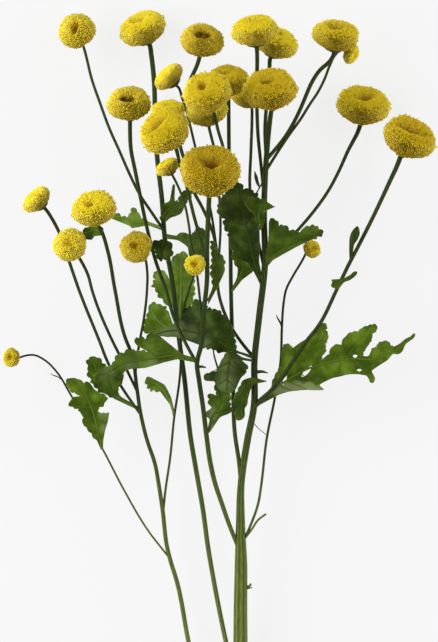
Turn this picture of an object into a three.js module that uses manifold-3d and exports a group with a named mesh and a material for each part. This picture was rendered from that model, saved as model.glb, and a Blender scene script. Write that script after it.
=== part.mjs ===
// Matricaria stem: one cut, branched stem of yellow button flowers and lobed leaves, lying on
// a surface. Sizes are millimetres, +Z is up. The stem was traced from straight above: a traced
// point is a pixel of that view, x to the right and y down, with its height above the surface.
import * as THREE from "three";
import { mergeVertices } from "three/addons/utils/BufferGeometryUtils.js";
import Module from "manifold-3d";

const wasm = await Module();
wasm.setup();

// The view that the stem was traced in: the largest head's real width sets the scale
const largeHeadAcross = 19.7;
const largeHeadPixels = 59;
const mmPerPixel = largeHeadAcross / largeHeadPixels;
const eyeHeight = 1200;
const traceHeight = 50;
const viewMiddle = { x: 219, y: 321 };

// Fit
const seatGap = 0.3;
const sliverSize = 0.02;

// Stems
const stemSides = 6;
const stubRadius = 0.35;
const stalkLead = 1.4;

// Flower heads, as shares of a head's radius, and of its depth where it says so
const openHeadPixels = 14;
const headDepth = 0.92;
const headRoll = 0.62;
const headFoot = 0.5;
const headMiddleShare = 0.45;
const dimpleAcross = 0.27;
const dimpleWallShare = 0.77;
const dimpleFloorShare = 0.58;
const floretRelief = 0.045;
const openRingAngles = [-64, -26, 14, 50, 90];
const budRingAngles = [-62, -10, 40, 90];
const openRingSides = 20;
const budRingSides = 14;
const cupRadius = 0.5;
const cupWaist = 0.42;
const cupWaistShare = 0.6;
const cupDepth = 0.34;
const cupSides = 8;
const neckShare = 0.75;

// Leaf blades
const bladeHalf = 0.34;
const toothPitch = 3.0;
const toothReach = 0.55;
const innerSpacing = 5.5;
const innerMargin = 1.3;
const relaxRounds = 40;

// Point at height z that is seen at a traced pixel
function seen(x, y, z) {
  const scale = mmPerPixel * (eyeHeight - z) / (eyeHeight - traceHeight);
  return new THREE.Vector3((x - viewMiddle.x) * scale, (viewMiddle.y - y) * scale, z);
}

// Solids
function closedGeometry(vertices, faces) {
  const geometry = new THREE.BufferGeometry();
  const positions = vertices.flatMap(({ x, y, z }) => [x, y, z]);
  geometry.setAttribute("position", new THREE.Float32BufferAttribute(positions, 3));
  geometry.setIndex(faces.flat());
  return geometry;
}

function toSolid(geometry) {
  const bare = geometry.clone();
  bare.deleteAttribute("normal");
  bare.deleteAttribute("uv");
  const merged = mergeVertices(bare, 1e-4);
  return new wasm.Manifold(new wasm.Mesh({
    numProp: 3,
    vertProperties: new Float32Array(merged.attributes.position.array),
    triVerts: new Uint32Array(merged.index.array),
  }));
}

function toGeometry(solid) {
  const mesh = solid.simplify(sliverSize).getMesh();
  const geometry = new THREE.BufferGeometry();
  geometry.setAttribute("position", new THREE.BufferAttribute(new Float32Array(mesh.vertProperties), 3));
  geometry.setIndex(new THREE.BufferAttribute(new Uint32Array(mesh.triVerts), 1));
  return geometry;
}

// The largest of the bodies that a cut leaves
function largestBody(solid) {
  return solid.decompose().reduce((large, body) => (body.volume() > large.volume() ? body : large));
}

// Round skin through rings of points that all have the same count, closed at both ends
function skin(rings) {
  const sides = rings[0].length;
  const vertices = rings.flat();
  const faces = [];
  for (let ring = 0; ring + 1 < rings.length; ring += 1) {
    for (let side = 0; side < sides; side += 1) {
      const a = ring * sides + side;
      const b = ring * sides + (side + 1) % sides;
      faces.push([a, b, b + sides], [a, b + sides, a + sides]);
    }
  }
  const middle = (ring) => ring.reduce((sum, point) => sum.add(point), new THREE.Vector3()).divideScalar(sides);
  const first = vertices.push(middle(rings[0])) - 1;
  const last = vertices.push(middle(rings[rings.length - 1])) - 1;
  const lastRing = (rings.length - 1) * sides;
  for (let side = 0; side < sides; side += 1) {
    const next = (side + 1) % sides;
    faces.push([first, next, side], [last, lastRing + side, lastRing + next]);
  }
  return closedGeometry(vertices, faces);
}

// Two directions square to an axis and to each other
function squareTo(axis) {
  const guide = Math.abs(axis.z) < 0.9 ? new THREE.Vector3(0, 0, 1) : new THREE.Vector3(1, 0, 0);
  const across = new THREE.Vector3().crossVectors(guide, axis).normalize();
  return { across, along: new THREE.Vector3().crossVectors(axis, across) };
}

function ringAt(centre, axis, radius, sides, turn = 0) {
  const { across, along } = squareTo(axis);
  return Array.from({ length: sides }, (_, side) => {
    const angle = (side + turn) * 2 * Math.PI / sides;
    return centre.clone()
      .addScaledVector(across, radius * Math.cos(angle))
      .addScaledVector(along, radius * Math.sin(angle));
  });
}

// Tapered stalk along a list of points, with radii spread evenly over the list
function stalk(points, radii, grow = 0) {
  const curve = new THREE.CatmullRomCurve3(points, false, "centripetal");
  const steps = points.length - 1;
  const frames = curve.computeFrenetFrames(steps, false);
  const rings = [];
  for (let step = 0; step <= steps; step += 1) {
    const place = step / steps * (radii.length - 1);
    const low = Math.min(Math.floor(place), radii.length - 2);
    const radius = THREE.MathUtils.lerp(radii[low], radii[low + 1], place - low) + grow;
    rings.push(Array.from({ length: stemSides }, (_, side) => {
      const angle = side * 2 * Math.PI / stemSides;
      return points[step].clone()
        .addScaledVector(frames.normals[step], radius * Math.cos(angle))
        .addScaledVector(frames.binormals[step], radius * Math.sin(angle));
    }));
  }
  return toSolid(skin(rings));
}

// Flower heads. Each has the pixel and height of its middle, its radius in pixels and the way it
// faces: x to the right, y up the stem, z towards the eye.
const heads = {
  1: { x: 77, y: 31, z: 16, across: 18.5, facing: [-0.2, 0.4, 0.9] },
  2: { x: 143, y: 29, z: 7.8, across: 23.5, facing: [-0.33, 0.78, 0.53] },
  3: { x: 202, y: 41, z: 40, across: 21.5, facing: [0.12, 0.82, 0.55] },
  4: { x: 255, y: 31, z: 47, across: 23, facing: [-0.1, 0.87, 0.49] },
  5: { x: 276, y: 43, z: 30, across: 22, facing: [0.3, 0.8, 0.5] },
  6: { x: 336, y: 36, z: 29, across: 23, facing: [0.1, 0.91, 0.41] },
  7: { x: 351, y: 54, z: 16, across: 9.5, facing: [0.8, -0.35, 0.45] },
  8: { x: 363, y: 106, z: 8.5, across: 26.5, facing: [0.03, 0.81, 0.58] },
  9: { x: 409, y: 138, z: 40, across: 26.5, facing: [0.3, 0.7, 0.63] },
  10: { x: 129, y: 104, z: 38, across: 21.5, facing: [-0.03, 0.85, 0.52] },
  11: { x: 169, y: 77, z: 32, across: 16, facing: [-0.64, 0.7, 0.3] },
  12: { x: 168, y: 112, z: 44, across: 17, facing: [-0.1, 0.85, 0.52] },
  13: { x: 207, y: 93, z: 62, across: 24, facing: [-0.22, 0.58, 0.78] },
  14: { x: 165, y: 131, z: 58, across: 25, facing: [-0.35, 0.5, 0.79] },
  15: { x: 227, y: 81.5, z: 36, across: 21.5, facing: [-0.08, 0.81, 0.58] },
  16: { x: 270, y: 90, z: 52, across: 26.5, facing: [-0.08, 0.73, 0.68] },
  17: { x: 250, y: 95, z: 22, across: 18, facing: [-0.12, 0.78, 0.61] },
  18: { x: 207, y: 112, z: 45, across: 20.5, facing: [-0.12, 0.85, 0.52] },
  19: { x: 210, y: 171.3, z: 62, across: 29.5, facing: [0.02, 0.6, 0.8] },
  20: { x: 168, y: 167, z: 42, across: 12.5, facing: [-0.45, 0.83, 0.33] },
  21: { x: 37, y: 200, z: 31, across: 15.5, facing: [-0.62, 0.68, 0.38] },
  22: { x: 94, y: 209, z: 42, across: 22, facing: [-0.15, 0.71, 0.68] },
  23: { x: 70, y: 245, z: 36, across: 17, facing: [-0.25, 0.35, 0.9] },
  24: { x: 136, y: 247, z: 38, across: 16, facing: [-0.25, 0.25, 0.93] },
  25: { x: 195, y: 265, z: 50, across: 10.5, facing: [-0.15, 0.3, 0.94] },
  26: { x: 312, y: 249, z: 29, across: 9.3, facing: [0.45, 0.3, 0.84] },
  27: { x: 11.5, y: 357.5, z: 23, across: 9.5, facing: [-0.55, 0.05, 0.83] },
};

// Stems. Each route runs from its head, or from a free tip, to the stem that it grows from;
// radii in millimetres are spread evenly along it.
const stems = {
  stem_main: {
    routes: {
      16: { radii: [
        0.7, 0.7, 0.8, 0.85, 0.95, 1, 1.05, 1.05, 1.05, 1.1, 1.15, 1.15, 1.5, 2.1, 2.25, 2.35, 2.4,
        2.45, 2.5], path: [
        [270.2, 118, 45], [267, 150, 39.5], [265, 180, 38.5], [264, 215, 37.5], [265, 262, 36],
        [259, 318, 33], [254.5, 360, 30], [254, 406, 27], [247.5, 440, 24], [241, 486, 20],
        [240.5, 524, 17], [241, 566, 14], [240.5, 610, 11.6], [240.5, 642, 10], [240.5, 720, 7.4],
        [240, 810, 4.6], [239, 900, 2.6]] },
      5: { radii: [0.5, 0.5], path: [
        [269.6, 66, 28], [269, 80, 31.6], [267, 100, 35], [265, 130, 37], [266, 156, 39.3]] },
      4: { radii: [0.5, 0.5], path: [
        [257.2, 56, 41.8], [257, 77, 38], [257, 110, 36], [258, 135, 36.5], [261, 165, 37.5],
        [264, 196, 38.1]] },
      17: { radii: [0.5, 0.5], path: [
        [252, 118, 19.8], [251, 150, 23], [250, 190, 27], [254, 220, 30], [259, 245, 33],
        [264.5, 270, 35.6]] },
      stub: { radii: [stubRadius, stubRadius], path: [
        [266, 514, 19], [258, 520, 18], [252, 529, 17], [242, 542, 15.8]] },
    },
  },
  stem_back_left: {
    parent: "stem_main",
    routes: {
      2: { radii: [0.65, 0.7, 0.75, 0.8, 0.75], path: [
        [151.2, 54, 4.7], [154, 80, 6.3], [155, 110, 7], [157, 155, 8], [162, 200, 8.5],
        [165, 240, 8.5], [172, 280, 8.5], [176, 312, 8.5], [180, 346, 8.5], [184, 375, 8.5],
        [191, 440, 8.5], [197, 475, 8.5], [203, 510, 8.5], [208, 547, 8.5], [214, 582, 8.5],
        [226, 642, 8.5], [240, 700, 8]] },
      1: { radii: [0.45, 0.5], path: [
        [84.5, 50, 9.8], [92, 80, 11.6], [100, 103, 13.2], [110, 130, 14], [119, 150, 14],
        [130, 175, 13], [140, 195, 12], [150, 210, 11], [165, 232, 8.6]] },
    },
  },
  stem_front: {
    parent: "stem_main",
    routes: {
      19: { radii: [0.8, 0.75, 0.75, 0.8, 0.7], path: [
        [209, 200, 53], [207, 250, 47], [207, 280, 44], [204, 310, 41], [201, 346, 38],
        [197, 363, 36.5], [199, 380, 34], [203, 407, 31], [207, 440, 27], [210, 461, 24.5],
        [215, 483, 22], [222, 504, 20], [229, 524, 18], [239, 549, 15.6]] },
      14: { radii: [0.6, 0.55], path: [
        [176, 148, 50], [180, 165, 47], [185, 180, 46], [190, 200, 45], [195, 220, 44],
        [201, 240, 43.6], [207, 264, 45]] },
      12: { radii: [0.45, 0.45], path: [[170.8, 133, 41.4], [175, 147, 43.4], [181, 168, 46.6]] },
      20: { radii: [0.4, 0.4], path: [
        [176.5, 183, 40.1], [184, 202, 40.2], [189, 226, 40.5], [191, 242, 40.6], [196, 268, 41],
        [200, 300, 41], [202.5, 328, 39.4]] },
      10: { radii: [0.5, 0.5, 0.55], path: [
        [130, 129, 33], [131, 150, 31], [135, 170, 30], [140, 195, 29], [147, 228, 28], [156, 262, 28],
        [166, 290, 29], [174, 318, 31], [184, 340, 34], [197, 364, 36.4]] },
    },
  },
  stem_back: {
    parent: "stem_main",
    routes: {
      15: { radii: [0.6, 0.65, 0.7], path: [
        [228.6, 104, 32.2], [229, 150, 35], [229.5, 180, 35], [230, 215, 30], [230.5, 250, 26],
        [231, 290, 25], [232, 330, 24], [233, 380, 23], [235, 435, 22], [239, 462, 21.8],
        [240.6, 478, 20.8]] },
      13: { radii: [0.55, 0.5], path: [
        [214, 113, 54], [218, 130, 49], [224, 150, 42.5], [229.5, 178, 35.4]] },
    },
  },
  stem_left: {
    parent: "stem_main",
    routes: {
      22: { radii: [0.55, 0.55, 0.6, 0.65, 0.7, 0.75, 0.8], path: [
        [101.5, 231, 36.2], [108, 252, 35], [115, 290, 32.5], [126, 340, 28.5], [131, 352, 27.5],
        [137, 389, 24.5], [140, 410, 23], [147, 440, 20.5], [155, 464, 18.5], [159, 486, 17],
        [162.6, 510, 15], [167.5, 549, 12.6], [170, 559, 12], [177, 582, 10.8], [188.6, 642, 8.5],
        [205, 710, 6.8], [224, 775, 5.6], [239.5, 828, 4.1]] },
      21: { radii: [0.45, 0.45], path: [
        [51, 217, 28.3], [59, 232, 27.6], [69, 261, 27], [79, 290, 26.8], [99, 340, 26.5],
        [109, 365, 26], [121, 386, 25], [139.5, 413, 22.8]] },
      23: { radii: [0.45, 0.45], path: [
        [79, 257.5, 29.8], [88, 275, 30], [92, 290, 30], [112, 340, 27.5], [121, 358, 26],
        [136.5, 390, 24.5]] },
      24: { radii: [0.45, 0.45], path: [
        [145, 258, 31], [147.2, 271, 30], [147, 290, 29], [144, 318, 28], [139, 345, 27],
        [135, 376, 25.7]] },
      27: { radii: [0.35, 0.35, 0.35], path: [
        [24, 356, 19.6], [34, 355, 20], [46, 361, 20], [56, 371, 19], [72, 397, 18], [102, 448, 16],
        [124, 490, 14.5], [147, 529, 13], [171, 560, 11.8]] },
      25: { radii: [0.4, 0.4], path: [
        [193, 278, 42], [189, 290, 36], [184, 307, 30], [181, 335, 23], [181, 355, 20], [180, 375, 18],
        [174, 419, 17], [170, 459, 16], [165.5, 490, 15.5], [163, 514, 14.8]] },
    },
  },
  stem_middle: {
    parent: "stem_main",
    routes: {
      3: { radii: [0.5, 0.5, 0.5, 0.55], path: [
        [197.5, 64, 35.8], [190, 81, 36.4], [184, 105, 37], [180, 145, 36], [185, 162, 35.5],
        [194, 192, 35], [203, 209, 34.5], [214, 237, 34], [218, 262, 33], [218, 289, 31],
        [229, 323, 29], [245, 347, 29.2], [254, 357.5, 29.8]] },
      11: { radii: [0.45, 0.4], path: [
        [181.5, 96, 29.6], [186.5, 111, 29], [191, 129, 29], [196, 150, 30], [205, 185, 31],
        [211, 212, 32], [218, 258, 33.2]] },
      18: { radii: [0.5, 0.4], path: [
        [210.6, 134, 40.8], [215, 152, 39.4], [218, 180, 38], [219.5, 200, 37], [220.5, 225, 35.6],
        [218.3, 266, 32.7]] },
    },
  },
  stem_right_top: {
    parent: "stem_main",
    routes: {
      6: { radii: [0.55, 0.55], path: [
        [330, 61, 26.4], [320, 70, 27.4], [312, 82, 29], [305, 98, 31], [299, 112, 33], [285, 137, 37],
        [268, 158, 39.2]] },
      7: { radii: [0.4, 0.5], path: [
        [336, 54, 14.6], [330, 65, 16.4], [325, 78, 19.5], [318, 92, 23.5], [310, 104, 27.5],
        [300, 120, 32.5], [288, 136.5, 36.8], [279, 150, 38], [266.5, 170, 38.8]] },
    },
  },
  stem_right_upper: {
    parent: "stem_main",
    routes: {
      8: { radii: [0.7, 0.65], path: [
        [360.4, 132, 4.9], [355, 142, 7.8], [349, 150, 11.4], [340, 170, 16], [330, 188, 20],
        [310, 216, 26.5], [297, 231, 29.5], [280, 250, 33], [264, 268, 35.7]] },
    },
  },
  stem_right_lower: {
    parent: "stem_main",
    routes: {
      9: { radii: [0.75, 0.7, 0.75], path: [
        [397.4, 165, 35.4], [390, 181, 36.2], [375, 213, 37], [360, 243, 36.5], [347, 268, 36],
        [337, 289, 35], [317, 328, 33], [309, 338, 32], [276, 385, 30], [252.5, 409, 27.4]] },
    },
  },
  stem_right_bud: {
    parent: "stem_main",
    routes: {
      26: { radii: [0.4, 0.45], path: [
        [302, 261, 25], [293, 276, 24.2], [286, 290, 22], [283.5, 304, 21], [282, 325, 19],
        [280.7, 360, 17], [275, 397, 16], [267, 437, 16], [261, 487, 16], [259, 500, 16.2],
        [249, 529, 16.5], [241.5, 545, 15.6]] },
    },
  },
};

// Leaves. Each outline runs once round, its points at the tips and notches of the lobes; a third
// value of 0 leaves the edge that ends there without teeth. Ribs run from the stem to the tip.
// lift is how far each side of the blade rises with distance from the rib, left then right.
const leaves = {
  leaf_right_large: {
    parent: "stem_main", colour: "bright", lift: [0.1, 0.22],
    rib: [[256, 405, 25.5], [276, 388, 25], [310, 368, 26], [345, 355, 27], [380, 352, 28], [415, 333, 27]],
    outline: [
      [252, 409, 0], [262, 403, 0], [276, 396, 0], [292, 391, 0], [325, 390, 0], [316, 384, 0],
      [330, 378], [345, 375], [362, 375], [368, 383], [375, 382], [375, 377], [370, 371], [385, 362],
      [393, 354], [402, 352], [407, 342], [415, 333, 0], [413, 332, 0], [400, 344], [391, 350, 0],
      [391, 344], [380, 341], [376, 350], [370, 351], [368, 357], [361, 355], [369, 343], [372, 333],
      [378, 327], [373, 324], [357, 332], [344, 337], [339, 345], [330, 350], [330, 357], [321, 357],
      [327, 348], [328, 335], [326, 326], [322, 322], [308, 337, 0], [293, 348, 0], [286, 344],
      [282, 350], [281, 362, 0], [272, 378], [272, 387, 0], [250, 406, 0]],
  },
  leaf_right_upper: {
    parent: "stem_main", colour: "middle", lift: [0.1, 0.3],
    rib: [[266, 261, 37.2], [285, 248, 39], [305, 236, 39], [323, 233, 37]],
    outline: [
      [266, 264, 0], [278, 257, 0], [298, 246, 0], [313, 239, 0], [323, 233], [315, 226], [305, 227],
      [300, 233], [289, 231], [283, 225], [279, 227], [276, 220], [269, 220], [268.5, 240, 0],
      [265, 258, 0]],
  },
  leaf_main_upper: {
    parent: "stem_main", colour: "dark", lift: [0.15, 0.1],
    rib: [[262, 288, 34.6], [255, 265, 37], [248, 235, 39], [242, 208, 40], [238, 183, 39.5]],
    outline: [
      [263, 290, 0], [254, 272, 0], [247, 262, 0], [233, 251], [229, 238], [230, 232], [224, 226],
      [226, 219], [220, 216], [218, 208], [222, 197], [230, 190], [238, 182], [243, 190], [250, 190],
      [258, 196], [259, 212, 0], [259.6, 238, 0], [259, 262, 0], [264, 286, 0]],
  },
  leaf_main_tip: {
    parent: "stem_main", colour: "middle", lift: [0.1, 0.1],
    rib: [[262, 228, 40], [259, 212, 43.5], [264, 205, 45], [275, 207, 45]],
    outline: [
      [262, 230, 0], [257, 216], [248, 208], [246, 200], [254, 197], [266, 201], [275, 207, 0],
      [265, 211, 0], [265, 222, 0]],
  },
  leaf_back_small: {
    parent: "stem_back", colour: "bright", lift: [0.1, 0.1],
    rib: [[231, 292, 25.2], [238, 280, 27], [243, 266, 29], [240, 254, 30]],
    outline: [
      [230, 292, 0], [237, 278, 0], [238, 268, 0], [234, 261], [234, 252], [243, 257], [252, 262],
      [254, 271], [242, 280, 0], [231, 294, 0]],
  },
  leaf_left_long: {
    parent: "stem_front", colour: "middle", lift: [0.12, 0.12],
    rib: [[197, 361, 36.5], [180, 356, 35], [150, 359, 33.4], [125, 363, 32], [108, 373, 30.5], [112, 397, 27.4]],
    outline: [
      [199, 359, 0], [184, 355, 0], [178, 351, 0], [161, 337, 0], [149, 333], [146, 340], [135, 338],
      [137, 346], [151, 353, 0], [140, 351], [130, 351], [119, 355], [112, 365], [102, 369], [95, 380],
      [107, 394], [118, 399], [118, 388], [123, 381], [122, 373], [130, 369, 0], [145, 368, 0],
      [165, 362, 0], [178, 359, 0], [199, 363, 0]],
  },
  leaf_left_middle: {
    parent: "stem_left", colour: "bright", lift: [-0.05, -0.1],
    rib: [[138, 409, 23], [120, 399, 20.5], [105, 388, 18.5], [93, 361, 18]],
    outline: [
      [140, 411, 0], [119, 401, 0], [103, 393, 0], [93, 384], [88, 371], [88, 359], [97, 357],
      [106, 368], [112, 385, 0], [121, 397, 0], [139, 407, 0]],
  },
  leaf_left_low: {
    parent: "stem_left", colour: "bright", lift: [0.12, 0.12],
    rib: [[101.5, 449, 17.2], [97, 428, 20.5], [90, 404, 23], [80, 388, 23.5], [67, 381, 23]],
    outline: [
      [100, 448, 0], [96, 438, 0], [85, 427], [82, 419], [79, 409], [70, 407], [70, 399, 0],
      [82, 396, 0], [72, 389], [66, 381], [77, 378], [88, 384], [96, 392, 0], [103, 395], [107, 400],
      [99, 409], [101, 414, 0], [110, 411], [107, 425, 0], [103, 440, 0], [103, 450, 0]],
  },
  leaf_left_curved: {
    parent: "stem_left", colour: "middle", lift: [0.2, 0.2],
    rib: [[174.5, 416, 17], [168, 398, 18.5], [160, 387, 20], [147, 380, 20.5]],
    outline: [
      [173, 417, 0], [171, 406, 0], [160, 391, 0], [150, 389], [145, 380], [150, 377], [165, 385, 0],
      [171, 397, 0], [175.5, 416, 0]],
  },
  leaf_centre_dark: {
    parent: "stem_main", colour: "dark", lift: [0.1, -0.1],
    rib: [[253, 358, 31.9], [236, 351, 33], [215, 340, 32.6], [198, 333, 30.5], [185, 334, 28.8]],
    outline: [
      [254, 356, 0], [236, 350.5, 0], [234, 338], [230, 324], [218, 310], [207, 309], [200, 301],
      [193, 301], [192, 313, 0], [199, 328, 0], [187, 328], [183, 338], [200, 345, 0], [222, 352],
      [236, 353, 0], [254, 357.4, 0]],
  },
  leaf_centre_hanging: {
    parent: "stem_main", colour: "bright", lift: [-0.25, -0.25],
    rib: [[253, 361, 31.9], [240, 358, 34.2], [231, 357, 36.4], [228, 370, 36.6], [227, 391, 33.5]],
    outline: [
      [254, 359.8, 0], [243, 357.6, 0], [233, 352, 0], [226, 352], [218, 366], [208, 373], [204, 380],
      [216, 382], [220, 391], [235, 391], [240, 382], [243, 379], [243, 372], [248, 371], [245, 363],
      [241, 360, 0], [254, 362, 0]],
  },
  leaf_centre_low: {
    parent: "stem_front", colour: "dark", lift: [0.1, 0.15],
    rib: [[207.5, 433, 27.8], [212, 418, 28.6], [220, 405, 29.5], [222, 382, 29.5]],
    outline: [
      [206.6, 434, 0], [210, 419, 0], [204, 413], [212, 408, 0], [209, 399], [211, 393], [217, 396, 0],
      [215, 384], [222, 379], [231, 388], [229, 402], [231, 413], [220, 417, 0], [208.6, 434, 0]],
  },
  leaf_main_low: {
    parent: "stem_main", colour: "bright", lift: [0.1, 0.1],
    rib: [[257, 380.5, 30], [250, 382, 30.6], [244, 392, 29.6], [241, 421, 27]],
    outline: [
      [268, 380, 0], [256, 377.5, 0], [245, 380, 0], [240, 384], [233, 396], [231, 408], [237, 410, 0],
      [237, 421], [246, 420], [246.5, 399], [250, 391, 0], [253, 384, 0], [265, 383, 0]],
  },
  leaf_centre_narrow: {
    parent: "stem_front", colour: "middle", lift: [0.15, 0.15],
    rib: [[208, 301, 42], [215, 283, 41], [217, 264, 40.5], [213, 243, 40.5]],
    outline: [
      [207.5, 304, 0], [213, 285, 0], [212, 270], [212.5, 258], [211.5, 240], [218, 252], [224, 259],
      [224, 273], [217, 288, 0], [208, 305, 0]],
  },
  leaf_back_large: {
    parent: "stem_back_left", colour: "bright", lift: [0.02, 0.05],
    rib: [[179, 325, 7.4], [180, 308, 5.4], [181, 280, 4.6], [181, 252, 4.6]],
    outline: [
      [177, 326, 0], [175, 308, 0], [168, 306], [158, 293], [153, 284], [157, 280], [153, 274],
      [159, 271], [166, 273], [174, 288, 0], [171, 262, 0], [175, 255], [186, 252], [192, 270],
      [194, 292], [191, 306], [183, 318, 0], [180, 328, 0]],
  },
  leaf_back_round: {
    parent: "stem_back_left", colour: "bright", lift: [0.1, 0.1],
    rib: [[179, 335, 8.8], [168, 328, 10.5], [157, 320, 12], [150, 306, 12.5]],
    outline: [
      [180, 338, 0], [168, 335, 0], [157, 333, 0], [143, 332], [147, 318], [151, 303], [163, 306],
      [170, 315], [173, 324, 0], [180, 333, 0]],
  },
  leaf_back_right: {
    parent: "stem_back_left", colour: "middle", lift: [0.1, 0.1],
    rib: [[165, 236, 8.6], [178, 237, 13], [190, 240, 18], [203, 240, 22]],
    outline: [
      [164, 233.5, 0], [177, 236, 0], [184, 232], [192, 236, 0], [200, 227], [206, 233], [206, 256],
      [189, 256], [188, 247, 0], [178, 240, 0], [164, 238.5, 0]],
  },
  leaf_back_dark: {
    parent: "stem_back_left", colour: "dark", lift: [0.1, 0.1],
    rib: [[164.6, 240, 10.1], [163, 246, 11.6], [161, 261, 12.6]],
    outline: [[163, 239.5, 0], [152, 243], [159, 260], [171, 257], [172, 250], [168, 241], [166, 239.5, 0]],
  },
  leaf_back_left: {
    parent: "stem_back_left", colour: "bright", lift: [0.1, 0.1],
    rib: [[164, 229, 7.6], [148, 223, 6.8], [133, 221, 6.6], [110, 214, 7.4]],
    outline: [
      [164, 227.5, 0], [148, 221.5, 0], [141, 219], [137, 211], [132, 207], [131, 218], [121, 217],
      [111, 210], [110, 218], [130, 226, 0], [134, 228], [148, 225, 0], [164, 231, 0]],
  },
  leaf_bud_side: {
    parent: "stem_back_left", colour: "middle", lift: [0.2, 0.2],
    rib: [[162.5, 222, 8.8], [168, 210, 11], [178, 205, 13.5], [193, 191, 16]],
    outline: [
      [161.5, 222, 0], [163, 204], [170, 201, 0], [172.6, 184, 0], [175, 184, 0], [174.4, 202, 0],
      [179, 203], [182, 192], [194, 190], [184, 205], [181, 214], [170, 218, 0], [163.5, 224, 0]],
  },
  bract_right_long: {
    parent: "stem_right_lower", colour: "grey", lift: [0.2, 0.2],
    rib: [[350.5, 261, 36.2], [353, 246, 38], [356, 227, 39]],
    outline: [
      [349, 263, 0], [349, 246], [354, 226], [359, 229], [358, 241], [352, 252, 0], [351.6, 261, 0]],
  },
  bract_right_short: {
    parent: "stem_right_lower", colour: "grey", lift: [0.2, 0.2],
    rib: [[342, 280, 36.8], [338, 283, 37.2], [331, 286, 37]],
    outline: [
      [357, 272, 0], [346, 277, 0], [333, 282], [331, 288], [341, 287], [347, 281, 0], [357, 274, 0]],
  },
  bract_left: {
    parent: "stem_left", colour: "bright", lift: [0.1, 0.1],
    rib: [[103, 233, 36], [95, 231, 33.5], [84, 233, 30.5]],
    outline: [[103, 231.6, 0], [97, 226], [88, 227], [83, 234], [86, 240], [94, 236], [103, 235, 0]],
  },
};

// Head: a cushion with a flat foot, a rolled rim and a dimple, in bands of raised floret tips
function headFrame({ x, y, z, across, facing }) {
  const axis = new THREE.Vector3(...facing).normalize();
  const radius = across * mmPerPixel * (eyeHeight - z) / (eyeHeight - traceHeight);
  const depth = headDepth * radius;
  const base = seen(x, y, z).addScaledVector(axis, -headMiddleShare * depth);
  return { axis, radius, depth, base };
}

function headGeometry(head) {
  const { axis, radius, depth, base } = headFrame(head);
  const open = head.across > openHeadPixels;
  const sides = open ? openRingSides : budRingSides;
  const profile = (open ? openRingAngles : budRingAngles).map((degrees) => {
    const angle = THREE.MathUtils.degToRad(degrees);
    return [1 - headRoll + headRoll * Math.cos(angle), 0.5 + 0.5 * Math.sin(angle)];
  });
  profile.push([dimpleAcross, dimpleWallShare]);
  const foot = ringAt(base, axis, headFoot * radius, sides);
  const heart = base.clone().addScaledVector(axis, headMiddleShare * depth);
  const rings = profile.map(([out, up], ring) => {
    const even = ringAt(base.clone().addScaledVector(axis, up * depth), axis, out * radius, sides, ring / 2);
    return even.map((point, side) => {
      const raise = (side % 2 ? 1 : -1) * floretRelief * radius;
      return point.addScaledVector(point.clone().sub(heart).normalize(), raise);
    });
  });
  const geometry = skin([foot, ...rings]);
  const positions = geometry.attributes.position;
  const dimple = base.clone().addScaledVector(axis, depth * dimpleFloorShare);
  positions.setXYZ(positions.count - 1, dimple.x, dimple.y, dimple.z);
  return geometry;
}

// Green cup under a head and the first points of its stalk
function cupRings(head, stalkRadius) {
  const { axis, radius, base } = headFrame(head);
  const at = (down, out) => ringAt(base.clone().addScaledVector(axis, -down), axis, out, cupSides);
  const depth = cupDepth * radius;
  return [
    at(seatGap + depth, stalkRadius),
    at(seatGap + cupWaistShare * depth, cupWaist * radius),
    at(seatGap, cupRadius * radius),
  ];
}

function routePoints(name, route) {
  const points = route.path.map((point) => seen(...point));
  const head = heads[name];
  if (!head) {
    return points;
  }
  const { axis, radius, base } = headFrame(head);
  const neck = base.clone().addScaledVector(axis, -(seatGap + neckShare * cupDepth * radius));
  return [neck, neck.clone().addScaledVector(axis, -stalkLead), ...points];
}

function stemSolid(stem, grow = 0) {
  const solids = Object.entries(stem.routes).flatMap(([name, route]) => {
    const parts = [stalk(routePoints(name, route), route.radii, grow)];
    if (heads[name] && grow === 0) {
      parts.push(toSolid(skin(cupRings(heads[name], route.radii[0]))));
    }
    return parts;
  });
  return solids.reduce((whole, solid) => whole.add(solid));
}

// Leaf edge in the traced view's plane, in millimetres, with teeth between the outline's points
function leafEdge(outline) {
  const corners = outline.map(([x, y, toothed = 1]) => ({ at: seen(x, y, traceHeight), toothed }));
  const area = corners.reduce((sum, { at }, index) => {
    const next = corners[(index + 1) % corners.length].at;
    return sum + at.x * next.y - next.x * at.y;
  }, 0);
  const outward = area > 0 ? 1 : -1;
  return corners.flatMap(({ at, toothed }, index) => {
    const from = corners[(index + corners.length - 1) % corners.length].at;
    const step = new THREE.Vector2(at.x - from.x, at.y - from.y);
    const teeth = toothed ? Math.round(step.length() / toothPitch) : 0;
    const side = new THREE.Vector2(step.y, -step.x).normalize().multiplyScalar(outward * toothReach);
    const between = [];
    for (let tooth = 0; tooth < teeth; tooth += 1) {
      const place = (share) => new THREE.Vector2(from.x, from.y).addScaledVector(step, (tooth + share) / teeth);
      between.push(place(0.5).add(side));
      if (tooth + 1 < teeth) {
        between.push(place(1));
      }
    }
    return [...between, new THREE.Vector2(at.x, at.y)];
  });
}

function inside(point, edge) {
  return edge.reduce((within, a, index) => {
    const b = edge[(index + 1) % edge.length];
    const spans = (a.y > point.y) !== (b.y > point.y);
    return spans && point.x < (b.x - a.x) * (point.y - a.y) / (b.y - a.y) + a.x ? !within : within;
  }, false);
}

function toSegment(point, a, b) {
  const span = b.clone().sub(a);
  const share = THREE.MathUtils.clamp(point.clone().sub(a).dot(span) / span.lengthSq(), 0, 1);
  return { share, distance: point.distanceTo(a.clone().addScaledVector(span, share)), span };
}

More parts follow.
